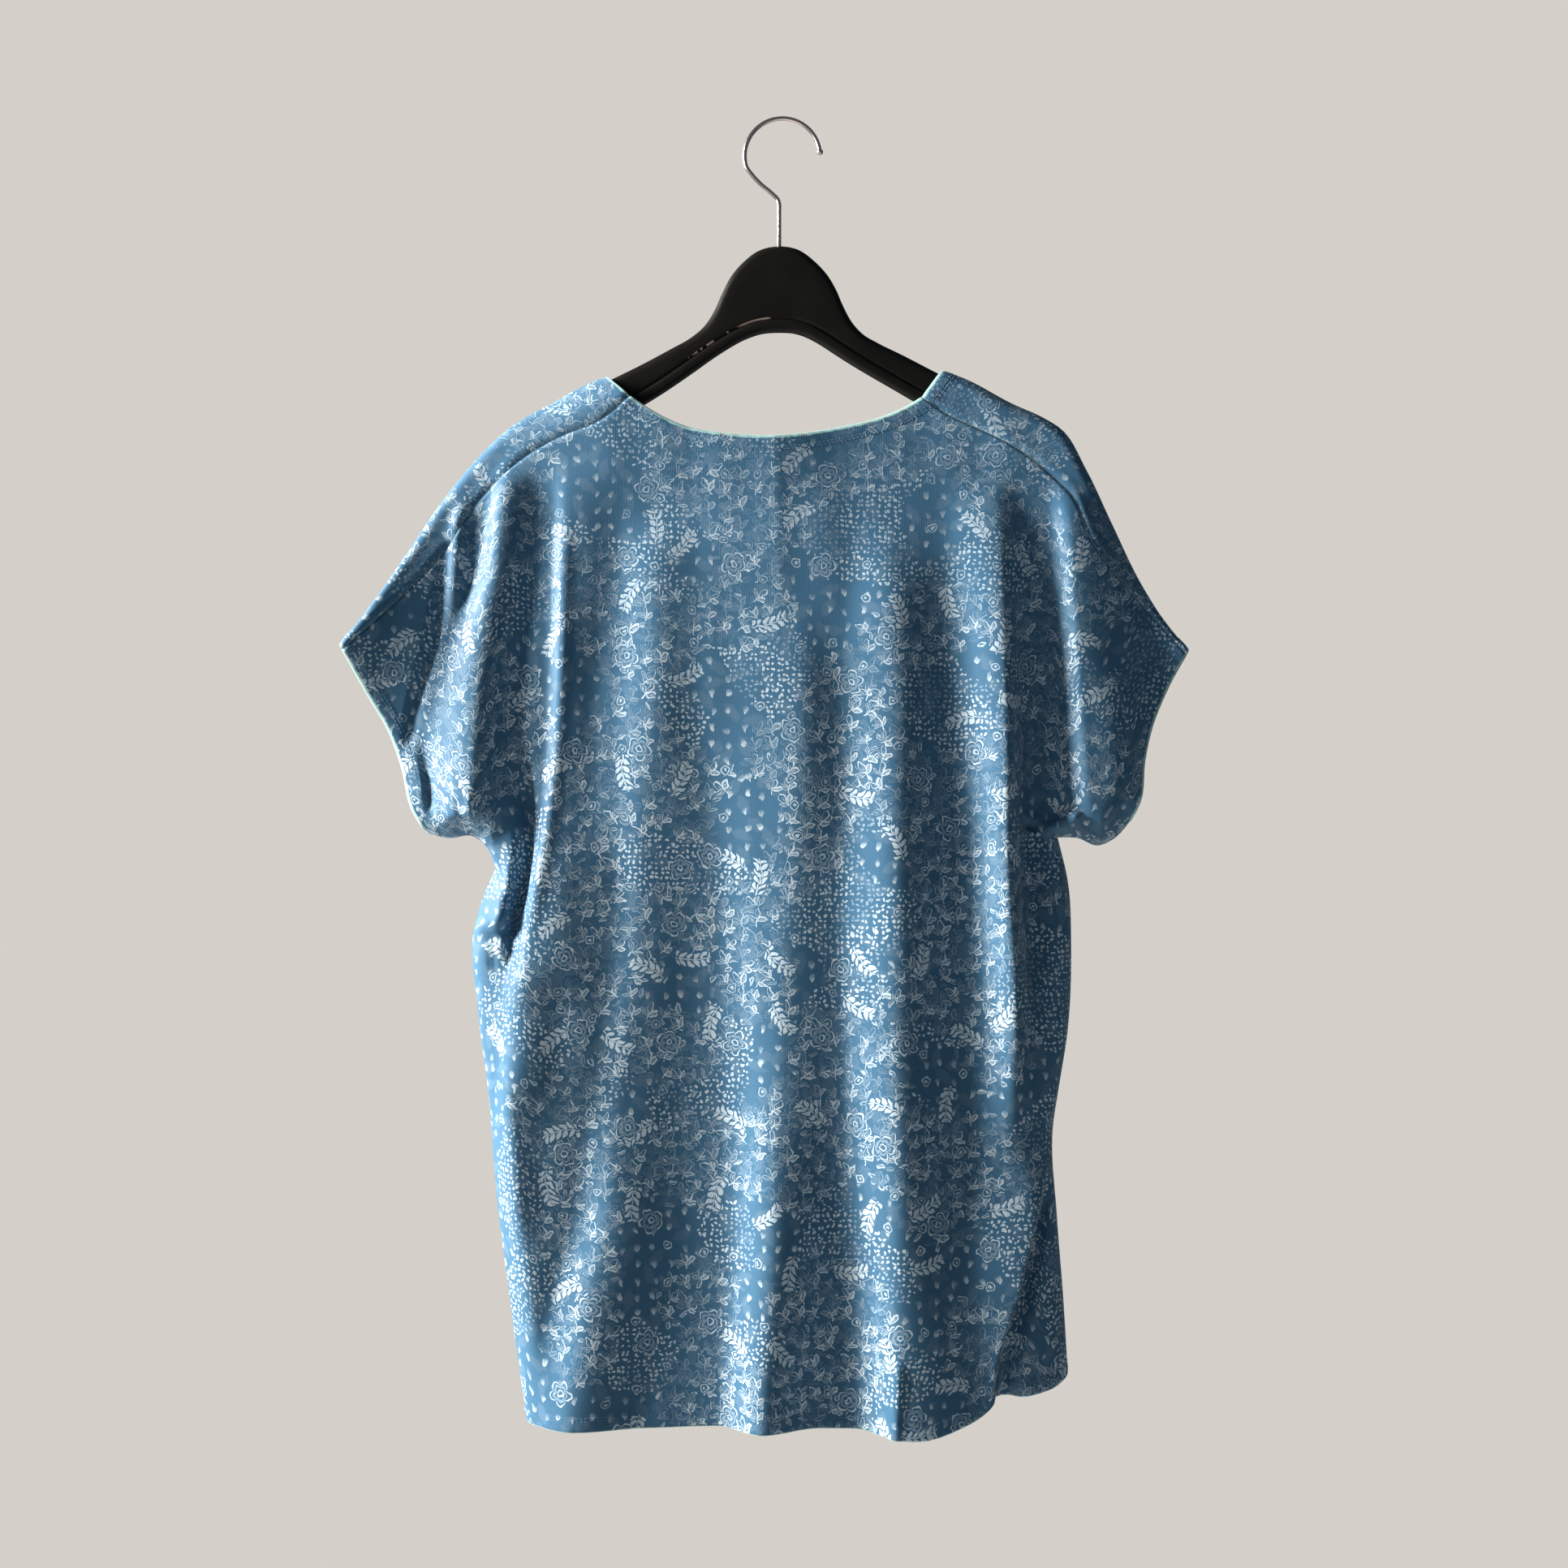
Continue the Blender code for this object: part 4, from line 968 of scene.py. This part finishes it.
def rising(low, gain, part):
    # from low up, by gain where the part is 1
    return low + gain * part


def paling(y, middle, slope):
    return (middle - y * slope).clamped()


def blossom(cells, size):
    # five petals in outline round a small ring; like each motif, it gives its ink and the ground
    # that it keeps clear of the motifs after it
    x, y = cells.upright()
    away = (x * x + y * y) ** 0.5
    angle = (y.maths("ARCTAN2", y, x) + cells.random[0] * size["turn"]) * (size["petals"] / 2)
    petal = abs(angle.maths("COSINE", angle))
    rim = size["rim"] + size["petal"] * petal ** size["petalShape"]
    petals = inkEdge(abs(away - rim) - size["line"] - size["thicker"] * petal)
    eye = inkEdge(abs(away - size["eye"]) - size["eyeLine"])
    shade = inkEdge(abs(away - size["shadeAt"] * rim) - size["shadeLine"], size["shadeBlur"]) * size["shade"]
    there = cells.random[1] > size["leftOut"]
    return petals.highest(eye).highest(shade) * there, inkEdge(away - rim - size["clear"]) * there


def spray(cells, size):
    # a bent stem with pairs of leaves
    x, y = cells.turned(cells.random[0] * size["turn"])
    x = x + (y * y) * size["bend"] - size["aside"]
    pair = y.maths("FLOORED_MODULO", y, size["pairs"]) - size["pairs"] / 2
    blade = lens(*turnedBy(abs(x) - size["leafOut"], pair, size["leafTurn"]), *size["leaf"])
    stem = (abs(x) - size["stem"]).highest(abs(y) - size["stemEnd"])
    edge = stem.lowest(blade.highest(abs(y) - size["leafEnd"]))
    there = cells.random[1] > size["leftOut"]
    return inkEdge(edge) * there, inkEdge(edge - size["clear"]) * there


def openRing(cells, size):
    # with a dot in it
    x, y = cells.upright()
    away = (x * x + y * y) ** 0.5
    there = cells.random[0] > size["leftOut"]
    ink = inkEdge(abs(away - size["radius"]) - size["line"]).highest(inkEdge(away - size["eye"]))
    tone = rising(size["tone"], 1 - size["tone"], cells.random[1])
    return ink * there * tone, inkEdge(away - size["clear"]) * there


def sprig(cells, size):
    # leaves in threes: a brushed outline, thicker on one side, and a fill that pales towards the tip
    x, y = cells.swayed(size["turn"])
    grown = size["grown"][0] - size["grown"][1] * cells.random[2]
    x, y = x * grown, y * grown
    sideLeaf = lens(*turnedBy(abs(x) - size["sideOut"], y + size["sideDrop"], size["sideTurn"]),
                    *size["sideLeaf"])
    leaf = lens(x, y - size["rise"], *size["leaf"]).lowest(sideLeaf)
    thinnest, thickest = size["lineTo"]
    line = (size["line"] + x * size["slant"]).lowest(thickest).highest(thinnest)
    brushed = inkEdge(abs(leaf + size["inside"]) - line)
    filled = inkEdge(leaf + size["fillInside"], size["fillBlur"]) * paling(y, *size["fill"])
    stem = inkEdge((abs(x) - size["stem"]).highest(abs(y + size["stemAt"]) - size["stemHalf"]))
    tone = rising(*size["tone"], cells.random[1].ramp(*size["toneRamp"]))
    shown = cells.patch() > printLook["leafFrom"]
    return brushed.highest(filled).highest(stem) * tone * shown, inkEdge(leaf - size["clear"]) * shown


def single(cells, size):
    # a leaf by itself, one half filled
    x, y = cells.swayed(size["turn"])
    leaf = lens(x, y, *size["leaf"])
    ink = inkEdge(abs(leaf + size["inside"]) - size["line"])
    ink = ink.highest(inkEdge(leaf + size["fillInside"]) * (x > 0.0) * size["fill"])
    tone = rising(*size["tone"], cells.random[1].ramp(*size["toneRamp"]))
    return ink * tone * (cells.patch() > printLook["leafFrom"] - printLook["overlap"]), None


def dot(cells, size):
    # a little longer than wide
    x, y = cells.turned(cells.random[0] * size["turn"])
    away = (x * x * size["wide"] + y * y * size["long"]) ** 0.5
    shown = ((cells.patch() < printLook["leafFrom"] + printLook["overlap"])
             * (cells.patch(*printLook["seedPatch"]) > printLook["seedTo"]))
    tone = rising(*size["tone"], cells.patch(*size["thinPatch"]).ramp(*size["toneRamp"]))
    return inkEdge(away - rising(*size["radius"], cells.random[1])) * shown * tone, None


def seed(cells, size):
    # pale at one end
    x, y = cells.swayed(size["turn"])
    shown = ((cells.patch() < printLook["leafFrom"])
             * (cells.patch(*printLook["seedPatch"]) < printLook["seedTo"]))
    ink = inkEdge(lens(x, y, *size["leaf"]), size["blur"]) * paling(y, *size["fill"])
    return ink * rising(*size["tone"], cells.random[1]) * shown, None


def printedCloth(surface, place):
    # how much ink lies at each place of the cut
    look = printLook
    wobble = surface.noise(place, 1 / look["wobbleSize"], 0.0).also(1)
    wobble = surface.vector("SUBTRACT", wobble, (0.5, 0.5, 0.5))
    place = surface.vector("ADD", place, surface.scaled(wobble, look["wobble"]))
    ink, ground = 0.0, 1.0
    drawings = {"blossom": blossom, "spray": spray, "ring": openRing, "sprig": sprig, "single": single,
                "dot": dot, "seed": seed}
    for name, draw in drawings.items():
        size = motifs[name]
        drawn, kept = draw(Cells(surface, place, *size["cells"]), size)
        ink = (drawn * ground).highest(ink)
        ground = ground if kept is None else (1 - kept) * ground
    # worn by a dry brush, over faint larger leaves
    size = motifs["ghost"]
    ghosts = Cells(surface, place, *size["cells"])
    x, y = ghosts.turned(ghosts.random[0] * size["turn"])
    faint = inkEdge(lens(x, y, *size["leaf"]), size["blur"]) * size["tone"]
    brush = rising(*look["brush"], surface.noise(place, 1 / look["brushSize"], 1.0))
    down = surface.parts(place)[1]
    faded = ((look["fadeFrom"] - down) / look["fadeOver"]).clamped()
    strong = rising(look["paler"], 1 - look["paler"], faded)
    return (ink * brush * strong).clamped().highest(faint)


jerseyLook = {
    # each face of the cloth: how pale it is, from 0 to 1, and how much of the print it shows
    "faces": {"printed_jersey": (0.0, 1.0), "jersey_reverse": (0.42, 0.22), "jersey_edge": (1.0, 0.0)},
    "sheen": 0.30, "sheenRoughness": 0.40, "sheenTint": (0.75, 0.88, 1.0, 1.0), "specular": 0.22,
    "darker": 0.86, "lighter": 1.14, "mottleSize": 2.6, "mottle": 0.6,
    "cloudSize": 70.0, "cloud": 0.8, "shadeFrom": 0.2,
    "edgeColours": ((0.33, 0.54, 0.50), (0.52, 0.74, 0.68)), "edgeSize": 3.0,
    "mint": (0.42, 0.68, 0.62), "fleck": (0.74, 0.40, 0.28), "fleckSize": 6.0, "fleckRamp": (9, 6.0),
    "paleEdge": 2.3, "paleStray": 1.6, "paleBlur": 0.8, "pale": 0.9, "hemLevel": -640.0,
    "knit": 0.9, "courseShare": 0.8, "wales": 0.35, "courses": 0.2, "nap": 1.1, "napSize": 1.4,
    "bump": 0.22, "bumpDepth": 0.00022, "roughness": (0.62, 0.16), "coat": (0.05, 0.15),
    "coatRoughness": 0.40,
}


def jerseyColour(surface, place, pale, inkShare):
    look = jerseyLook
    if pale == 1.0:
        return surface.colourMix(surface.noise(place, 1 / look["edgeSize"], 2.0), *look["edgeColours"])
    mottle = surface.noise(place, 1 / look["mottleSize"], 2.0, 0.6)
    cloud = surface.noise(place, 1 / look["cloudSize"], 2.0, 0.5)
    plain = tuple(c + (1 - c) * pale for c in printLook["cloth"])
    dark = tuple(c * look["darker"] for c in plain)
    light = tuple(min(c * look["lighter"], 1) for c in plain)
    shade = (mottle * look["mottle"] + cloud * look["cloud"] - look["shadeFrom"]).clamped()
    colour = surface.colourMix(shade, dark, light)
    return surface.colourMix(printedCloth(surface, place) * (printLook["strength"] * inkShare),
                             colour, printLook["ink"])


def paleEdged(surface, place, colour):
    # the turned cloth shows its pale side along the neck and cuffs
    look = jerseyLook
    fromEdge = surface.add("ShaderNodeAttribute", {"attribute_name": "fromOpenEdge"}, output=2)
    fleck = surface.noise(place, 1 / look["fleckSize"], 1.0)
    mint = surface.colourMix(fleck.ramp(*look["fleckRamp"]), look["mint"], look["fleck"])
    above = surface.parts(place)[1] > look["hemLevel"]
    share = inkEdge(fromEdge + fleck * look["paleStray"] - look["paleEdge"], look["paleBlur"]) * above
    return surface.colourMix(share * look["pale"], colour, mint)


def knitted(surface, place):
    # fine upright wales crossed by finer courses, and a soft nap
    look = jerseyLook
    across, down = surface.parts(place)[:2]
    across = across * (2 * math.pi / look["knit"])
    down = down * (2 * math.pi / (look["knit"] * look["courseShare"]))
    nap = surface.noise(place, 1 / look["napSize"], 2.0, 0.6)
    height = (across.maths("SINE", across) * look["wales"] + down.maths("SINE", down) * look["courses"]
              + nap * look["nap"])
    surface.feed("Normal", surface.add("ShaderNodeBump", {}, Strength=look["bump"],
                                       Distance=look["bumpDepth"], Height=height))
    surface.feed("Roughness", rising(*look["roughness"], nap))
    surface.feed("Coat Weight", rising(*look["coat"], nap))


def jerseyMaterials():
    look = jerseyLook
    made = []
    for name, (pale, inkShare) in look["faces"].items():
        surface = Surface(name, Sheen_Weight=look["sheen"], Sheen_Roughness=look["sheenRoughness"],
                          Sheen_Tint=look["sheenTint"], Specular_IOR_Level=look["specular"],
                          Coat_Roughness=look["coatRoughness"])
        place = surface.scaled(surface.add("ShaderNodeUVMap", {"uv_map": "cut"}), metre)
        colour = jerseyColour(surface, place, pale, inkShare)
        if not pale:
            colour = paleEdged(surface, place, colour)
        surface.feed("Base Color", colour)
        knitted(surface, place)
        made.append(surface.material)
    return made


print("shirt: measuring the cut")
outline = Outline()
places = CutPlaces(outline)
blocks = clothBlocks(outline)
points, quads, cuts = weld(blocks, places)
normals = pointNormals(points, np.concatenate(list(quads.values())))
borders = {panel: borderOf(parts) for panel, parts in quads.items()}

jersey = jerseyMaterials()

sewing = {
    "length": 2.5, "gap": 0.55, "radius": 0.21, "ends": 0.55, "swell": 0.45, "lift": 0.14, "sink": 0.06,
    "rings": 4, "sides": 5, "shortest": 8,
    "colours": ((0.06, 0.155, 0.255), (0.10, 0.22, 0.34)), "twist": 2600.0, "roughness": 0.55, "sheen": 0.2,
}


def sewingThread():
    surface = Surface("sewing_thread", Roughness=sewing["roughness"], Sheen_Weight=sewing["sheen"])
    twist = surface.noise(surface.spot(), sewing["twist"], 1.0, 0.5, "3D")
    surface.feed("Base Color", surface.colourMix(twist, *sewing["colours"]))
    return surface.material


threadMaterial = sewingThread()


def cutMeasure(panel):
    # the flat size and the area of a panel's cut
    flat = cuts[panel][np.unique(quads[panel])]
    corners = cuts[panel][quads[panel]]
    one, other = corners[:, 2] - corners[:, 0], corners[:, 3] - corners[:, 1]
    area = np.abs(one[:, 0] * other[:, 1] - one[:, 1] * other[:, 0]).sum() / 2
    return flat.max(0) - flat.min(0), float(area)


def needleStitches(panel, outer, openAway):
    # the stitches of the twin needle
    threadPoints, threadFaces = [], []
    for level in sewnEdges["needleLines"]:
        for line in contour(quads[panel], openAway, level):
            if len(line) < sewing["shortest"]:
                continue
            start, end = np.array(line).T
            share = ((level - openAway[start]) / (openAway[end] - openAway[start]))[:, None]
            path = outer[start] * (1 - share) + outer[end] * share
            facing = unitRows(normals[start] * (1 - share) + normals[end] * share)
            made, shown = stitchesAlong(path, facing, sewing)
            threadFaces += [tuple(k + len(threadPoints) for k in face) for face in shown]
            threadPoints += made
    return threadPoints, threadFaces


def makePanel(panel, other):
    border = borders[panel]
    shared = amongEdges(border, borders[other])
    seamEdges, openEdges = border[shared], border[~shared]
    used = np.unique(quads[panel])
    inward = inwardAt(points, normals, quads[panel], border)
    openAway = nearRuns(points, openEdges, used, sewnEdges["reach"])
    shoulderSeam = seamEdges[(points[seamEdges, 1] < sewnEdges["behind"]).any(axis=1)]
    seamAway = nearRuns(points, shoulderSeam, used, sewnEdges["reach"])
    wrapSide = (points[:, 1] < 0) * (panel == "front")
    relief = sewnRelief(points, openAway, seamAway, wrapSide)
    thickness = (shirtForm["cloth"] + (shirtForm["hemCloth"] - shirtForm["cloth"])
                 * turnedBand(openAway, sewnEdges["thickSlope"]))
    allPoints, faces, slots, owner = panelShell(points, normals, quads[panel], border, seamEdges,
                                                relief, thickness, inward)
    piece = addMesh(panel + "_panel", allPoints, faces, jersey, slots, cuts[panel][owner],
                    {"fromOpenEdge": openAway[owner]})
    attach(piece, "root")
    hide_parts(panel)
    threadPoints, threadFaces = needleStitches(panel, points + normals * relief[:, None], openAway)
    thread = addMesh(panel + "_stitching", threadPoints, threadFaces, [threadMaterial])
    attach(thread, "root")
    size, area = cutMeasure(panel)
    print(panel, "cut", np.round(size), "mm,", round(area * mm * mm, 4), "m2,", len(faces), "faces,",
          len(threadFaces), "thread faces")
    return piece, thread, size, area


print("shirt: making the panels")
panels = {"back": makePanel("back", "front"), "front": makePanel("front", "back")}


hanger = {
    "sections": (
        (-212.5, -243.5, -210.5, -250.5), (-204, -232.6, -199, -253), (-175, -216, -165, -240.5),
        (-150, -202.8, -138, -228.5), (-128, -192.4, -114, -216.5), (-102.3, -179.7, -88, -201),
        (-82.2, -168.9, -66, -186), (-67.4, -160.5, -51, -175.3), (-57.6, -152, -40, -168.2),
        (-50.6, -141.3, -30.5, -162.8), (-44.8, -128.5, -23, -159.6), (-38, -115.5, -17, -157.7),
        (-28.6, -104.6, -12, -156.8), (-17, -96.2, -7, -156.4), (-3, -93.2, -1.3, -156.3),
        (12, -95.8, 6, -156.6), (24, -104.4, 11, -157.6), (33, -114, 16, -159.2), (39.4, -124.5, 22, -162),
        (44.6, -136.4, 29.9, -166.6), (51, -148.5, 39, -172.6), (59.4, -157.9, 50, -179.6),
        (70.2, -164.4, 63, -187.4), (88.7, -173.5, 80, -197.2), (116, -187.6, 105, -211.4),
        (134, -196.2, 128, -222.4), (150, -204.2, 150, -231.6), (170, -213.6, 170, -239.4),
        (196, -227.2, 194, -247.6), (204.5, -238.5, 203, -245.5)),
    "face": 5.3, "crown": 0.12, "crownAt": (0.25, 0.5, 0.75, 0.93),
    "rib": 6.0, "ribWidth": 9.2, "grooveDepth": 0.9, "grooveWidth": 1.5,
    # rib and groove grow with the board's height; a lower board has a plain face
    "ribFrom": 15.0, "ribOver": 8.0, "plainShare": 0.62,
    # across the groove: share of its width, what it starts from and how far past that
    "groove": ((0.0, "face", -0.15), (0.25, "low", 0.0), (0.6, "low", 0.1), (1.0, "rib", -0.35),
               (1.35, "rib", 0.0)),
    # edges: radius, its largest share of the height, and steps
    "top": (5.6, 0.6, 6), "foot": (2.6, 0.3, 5), "steps": 6,
}


def hangerProfile(height):
    # from the top edge down one face: (distance below the top, half thickness)
    topRound, topShare, topSteps = hanger["top"]
    footRound, footShare, footSteps = hanger["foot"]
    top, foot = min(topRound, topShare * height), min(footRound, footShare * height)
    shown = float(softStep((height - hanger["ribFrom"]) / hanger["ribOver"]))
    step = height - hanger["ribWidth"]
    if shown < 1e-3:
        step = max(hanger["plainShare"] * height, top + 0.2)
    face = hanger["face"]
    rib = face + (hanger["rib"] - face) * shown
    levels = {"face": face, "low": face - hanger["grooveDepth"] * shown, "rib": rib}
    angles = np.radians(np.linspace(0, 90, topSteps + 1))[1:]
    line = [(top * (1 - math.cos(a)), face * math.sin(a)) for a in angles]
    room = max(step - top, 0.6)
    line += [(top + room * s, face + hanger["crown"] * math.sin(math.pi * s)) for s in hanger["crownAt"]]
    wide = min(hanger["grooveWidth"], 0.3 * (height - step))
    line += [(step + wide * share, levels[level] + past * shown) for share, level, past in hanger["groove"]]
    start = line[-1][0]
    line += [(start + (height - foot - start) * s, rib) for s in (0.5, 1.0)]
    angles = np.radians(np.linspace(0, 90, footSteps + 1))[1:]
    line += [(height - foot + foot * math.sin(a), rib - foot + foot * math.cos(a)) for a in angles]
    return line


def makeHanger(surface):
    sections = smoothLine(hanger["sections"], hanger["steps"])
    middle = (sections[:, :2] + sections[:, 2:]) / 2
    along = lengthsAlong(middle)
    points, cut = [], []
    for row, (topX, topZ, footX, footZ) in enumerate(sections):
        height = math.hypot(topX - footX, topZ - footZ)
        down = ((footX - topX) / height, (footZ - topZ) / height)
        side = hangerProfile(height)
        ring = [(0.0, 0.0)] + side + [(height, 0.0)] + [(s, -h) for s, h in reversed(side)]
        points += [(topX + down[0] * s, h, topZ + down[1] * s) for s, h in ring]
        cut += [(along[row], height - s + (500 if h > 0 else 0)) for s, h in ring]
    around, count = len(ring), len(sections)
    faces = []
    for s in range(count - 1):
        for k in range(around):
            a, b = s * around + k, s * around + (k + 1) % around
            faces.append((a, b, b + around, a + around))
    faces.append(tuple(reversed(range(around))))
    faces.append(tuple(range((count - 1) * around, count * around)))
    return addMesh("hanger_body", points, faces, [surface], cut=cut)


satin = {
    "colours": ((0.004, 0.004, 0.003), (0.009, 0.008, 0.006)), "specular": 0.15,
    # noises over the metre; the roughness is a base and the shares of the cloud and the grain
    "cloud": 35.0, "grain": 900.0, "roughness": (0.36, 0.12, 0.06), "bump": 0.25, "bumpDepth": 0.00010,
    # a painted highlight along the groove, on the left of the hump, where its edge catches the light,
    # drawn as a pale copper line: middle, half length and blur, then those of its broken end
    "glintColour": (0.66, 0.47, 0.38), "line": (218.0, 15.5, 5.0), "broken": (188.0, 26.0, 10.0),
    "brokenFrom": 0.57, "lineBelow": 0.2, "lineWidth": 0.62, "lineBlur": 0.5,
}


def blackSatin():
    surface = Surface("black_satin", Specular_IOR_Level=satin["specular"])
    spot = surface.spot()
    grain = surface.noise(spot, satin["grain"], 2.0, 0.6, "3D")
    cloud = surface.noise(spot, satin["cloud"], 3.0, 0.6, "3D")
    cut = surface.scaled(surface.add("ShaderNodeUVMap", {"uv_map": "cut"}), metre)
    along, above, _ = surface.parts(cut)
    broken = surface.noise(surface.vector("MULTIPLY", cut, (1.0, 0.2, 0.0)), 0.16, 2.0)
    level = hanger["ribWidth"] + satin["lineBelow"]
    line, ends = (inkEdge(abs(along - middle) - half, blur)
                  for middle, half, blur in (satin["line"], satin["broken"]))
    # painted highlight: a pale copper line on the groove's edge, with a broken end, mixed into the black
    paintedGlint = (inkEdge(abs(above - level) - satin["lineWidth"], satin["lineBlur"])
              * line.highest(ends * (broken > satin["brokenFrom"])))
    colour = surface.colourMix(cloud, *satin["colours"])
    surface.feed("Base Color", surface.colourMix(paintedGlint, colour, satin["glintColour"]))
    base, cloudShare, grainShare = satin["roughness"]
    surface.feed("Roughness", base + cloud * cloudShare + grain * grainShare)
    surface.feed("Normal", surface.add("ShaderNodeBump", {}, Strength=satin["bump"],
                                       Distance=satin["bumpDepth"], Height=grain))
    return surface.material


hook = {
    "wire": 1.55, "radius": 27.9, "openEnd": 10.0, "arcEnd": 194.0, "stemX": -2.4, "stemFoot": -110.9,
    "neck": ((-2.4, -62), (-3.2, -59), (-8.2, -53.6), (-15.2, -47.8), (-22.4, -40.2)),
    "stemBends": (-78.0, -66.0), "ball": 2.3,
    # rings of the ball: distance past the wire's end and radius, as shares of the ball's
    "ballRings": ((0.10, 0.72), (0.35, 0.90), (0.62, 0.99), (0.9, 1.0), (1.2, 0.92), (1.45, 0.74),
                  (1.62, 0.48), (1.7, 0.2)),
    "around": 20, "arcSteps": 60, "bendSteps": 6,
}


def makeHook(surface):
    centre = hook["wire"] - hook["radius"]
    arc = np.radians(np.linspace(hook["arcEnd"], hook["openEnd"], hook["arcSteps"]))
    roundPart = np.stack([hook["radius"] * np.cos(arc), centre + hook["radius"] * np.sin(arc)], axis=1)
    stem = [(hook["stemX"], z) for z in hook["stemBends"]]
    bend = smoothLine(stem + list(hook["neck"]) + [tuple(p) for p in roundPart[:3]], hook["bendSteps"])
    path = np.concatenate([[(hook["stemX"], hook["stemFoot"])], bend[:-1], roundPart[2:]])
    sizes = [hook["wire"]] * len(path)
    heading = unitRows((path[-1] - path[-2])[None])[0]
    end = path[-1].copy()
    for step, size in hook["ballRings"]:
        path = np.append(path, [end + heading * step * hook["ball"]], axis=0)
        sizes.append(size * hook["ball"])
    ahead = unitRows(np.gradient(path, axis=0))
    points, cut, along = [], [], lengthsAlong(path)
    for k, ((x, z), (dx, dz), size) in enumerate(zip(path, ahead, sizes)):
        for turn in range(hook["around"]):
            angle = 2 * math.pi * turn / hook["around"]
            points.append((x - dz * size * math.cos(angle), size * math.sin(angle),
                           z + dx * size * math.cos(angle)))
            cut.append((along[k], turn))
    faces = []
    for s in range(len(path) - 1):
        for k in range(hook["around"]):
            a, b = s * hook["around"] + k, s * hook["around"] + (k + 1) % hook["around"]
            faces.append((a, a + hook["around"], b + hook["around"], b))
    faces.append(tuple(range(hook["around"])))
    faces.append(tuple(reversed(range((len(path) - 1) * hook["around"], len(path) * hook["around"]))))
    return addMesh("hook_wire", points, faces, [surface], cut=cut)


steel = {
    "colours": ((0.62, 0.48, 0.42), (0.74, 0.64, 0.58)),
    "cloud": 60.0, "grain": 1500.0, "roughness": (0.18, 0.12, 0.05),
}


def wireSteel():
    surface = Surface("drawn_wire", Metallic=1.0)
    spot = surface.spot()
    cloud = surface.noise(spot, steel["cloud"], 3.0, 0.6, "3D")
    grain = surface.noise(spot, steel["grain"], 2.0, 0.6, "3D")
    surface.feed("Base Color", surface.colourMix(cloud, *steel["colours"]))
    base, cloudShare, grainShare = steel["roughness"]
    surface.feed("Roughness", base + cloud * cloudShare + grain * grainShare)
    return surface.material


print("hanger and hook")
hangerPiece = makeHanger(blackSatin())
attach(hangerPiece, "root")
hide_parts("hanger_arm")
hookPiece = makeHook(wireSteel())
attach(hookPiece, "root")
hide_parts("hanger_hook")

for panel, (piece, thread, size, area) in panels.items():
    area * mm * mm


studio = {
    "floorDepth": 2.4, "floorRadius": 3.0, "floorSides": 96,
    "floor": (0.62, 0.60, 0.57), "floorDarker": 0.97, "floorMottle": 1.5, "floorRoughness": 0.8,
    "backdrop": (0.66, 0.63, 0.585), "fill": (0.085, 0.105, 0.130),
    "key": {"place": (-2.75, -0.52, 0.40), "power": 330.0, "size": (0.7, 1.5), "colour": (1.0, 0.985, 0.97)},
    "rear": {"place": (-2.3, 1.15, 0.55), "power": 62.0, "size": (1.0, 1.4), "colour": (1.0, 0.99, 0.97)},
    "aim": (0.0, 0.0, -0.52),
    # in millimetres: the frame's width is that at the hanging point
    "camera": {"place": (1.2, -1500.0, -490.5), "frameWidth": 1159.2, "sensor": 36.0, "clip": (0.05, 50.0)},
}


def addLight(name, setting):
    light = bpy.data.lights.new(name, "AREA")
    light.shape = "RECTANGLE"
    light.size, light.size_y = setting["size"]
    light.energy = setting["power"]
    light.color = setting["colour"]
    made = bpy.data.objects.new(name, light)
    made.location = setting["place"]
    made.rotation_euler = (Vector(studio["aim"]) - made.location).to_track_quat("-Z", "Y").to_euler()
    bpy.context.scene.collection.objects.link(made)


def addFloor():
    turns = np.linspace(0, 2 * math.pi, studio["floorSides"], endpoint=False)
    radius = studio["floorRadius"]
    corners = [(radius * math.cos(a), radius * math.sin(a), -studio["floorDepth"]) for a in turns]
    surface = Surface("floor", Roughness=studio["floorRoughness"])
    tint = surface.noise(surface.spot(), studio["floorMottle"], 2.0, 0.5, "3D")
    low = tuple(c * studio["floorDarker"] for c in studio["floor"])
    surface.feed("Base Color", surface.colourMix(tint, low, studio["floor"]))
    floor = addMesh("floor", np.array(corners) / mm, [tuple(range(len(corners)))], [surface.material],
                    smooth=False)


def addWorld():
    world = bpy.data.worlds.new("studio")
    bpy.context.scene.world = world
    world.use_nodes = True
    nodes, links = world.node_tree.nodes, world.node_tree.links
    seen = nodes.new("ShaderNodeBackground")
    seen.inputs["Color"].default_value = (*studio["backdrop"], 1.0)
    lit = nodes["Background"]
    lit.inputs["Color"].default_value = (*studio["fill"], 1.0)
    path, mix = nodes.new("ShaderNodeLightPath"), nodes.new("ShaderNodeMixShader")
    links.new(path.outputs["Is Camera Ray"], mix.inputs[0])
    links.new(lit.outputs[0], mix.inputs[1])
    links.new(seen.outputs[0], mix.inputs[2])
    links.new(mix.outputs[0], nodes["World Output"].inputs["Surface"])


def addCamera(setting):
    camera = bpy.data.objects.new("camera", bpy.data.cameras.new("camera"))
    camera.location = [c * mm for c in setting["place"]]
    camera.rotation_euler = (math.radians(90), 0, 0)
    camera.data.sensor_width = setting["sensor"]
    camera.data.lens = setting["sensor"] * -setting["place"][1] / setting["frameWidth"]
    camera.data.clip_start, camera.data.clip_end = setting["clip"]
    bpy.context.scene.collection.objects.link(camera)
    bpy.context.scene.camera = camera
    bpy.context.scene.view_settings.view_transform = "Standard"


print("floor, light and camera")
addFloor()
addWorld()
addLight("key_light", studio["key"])
addLight("rear_light", studio["rear"])
addCamera(studio["camera"])
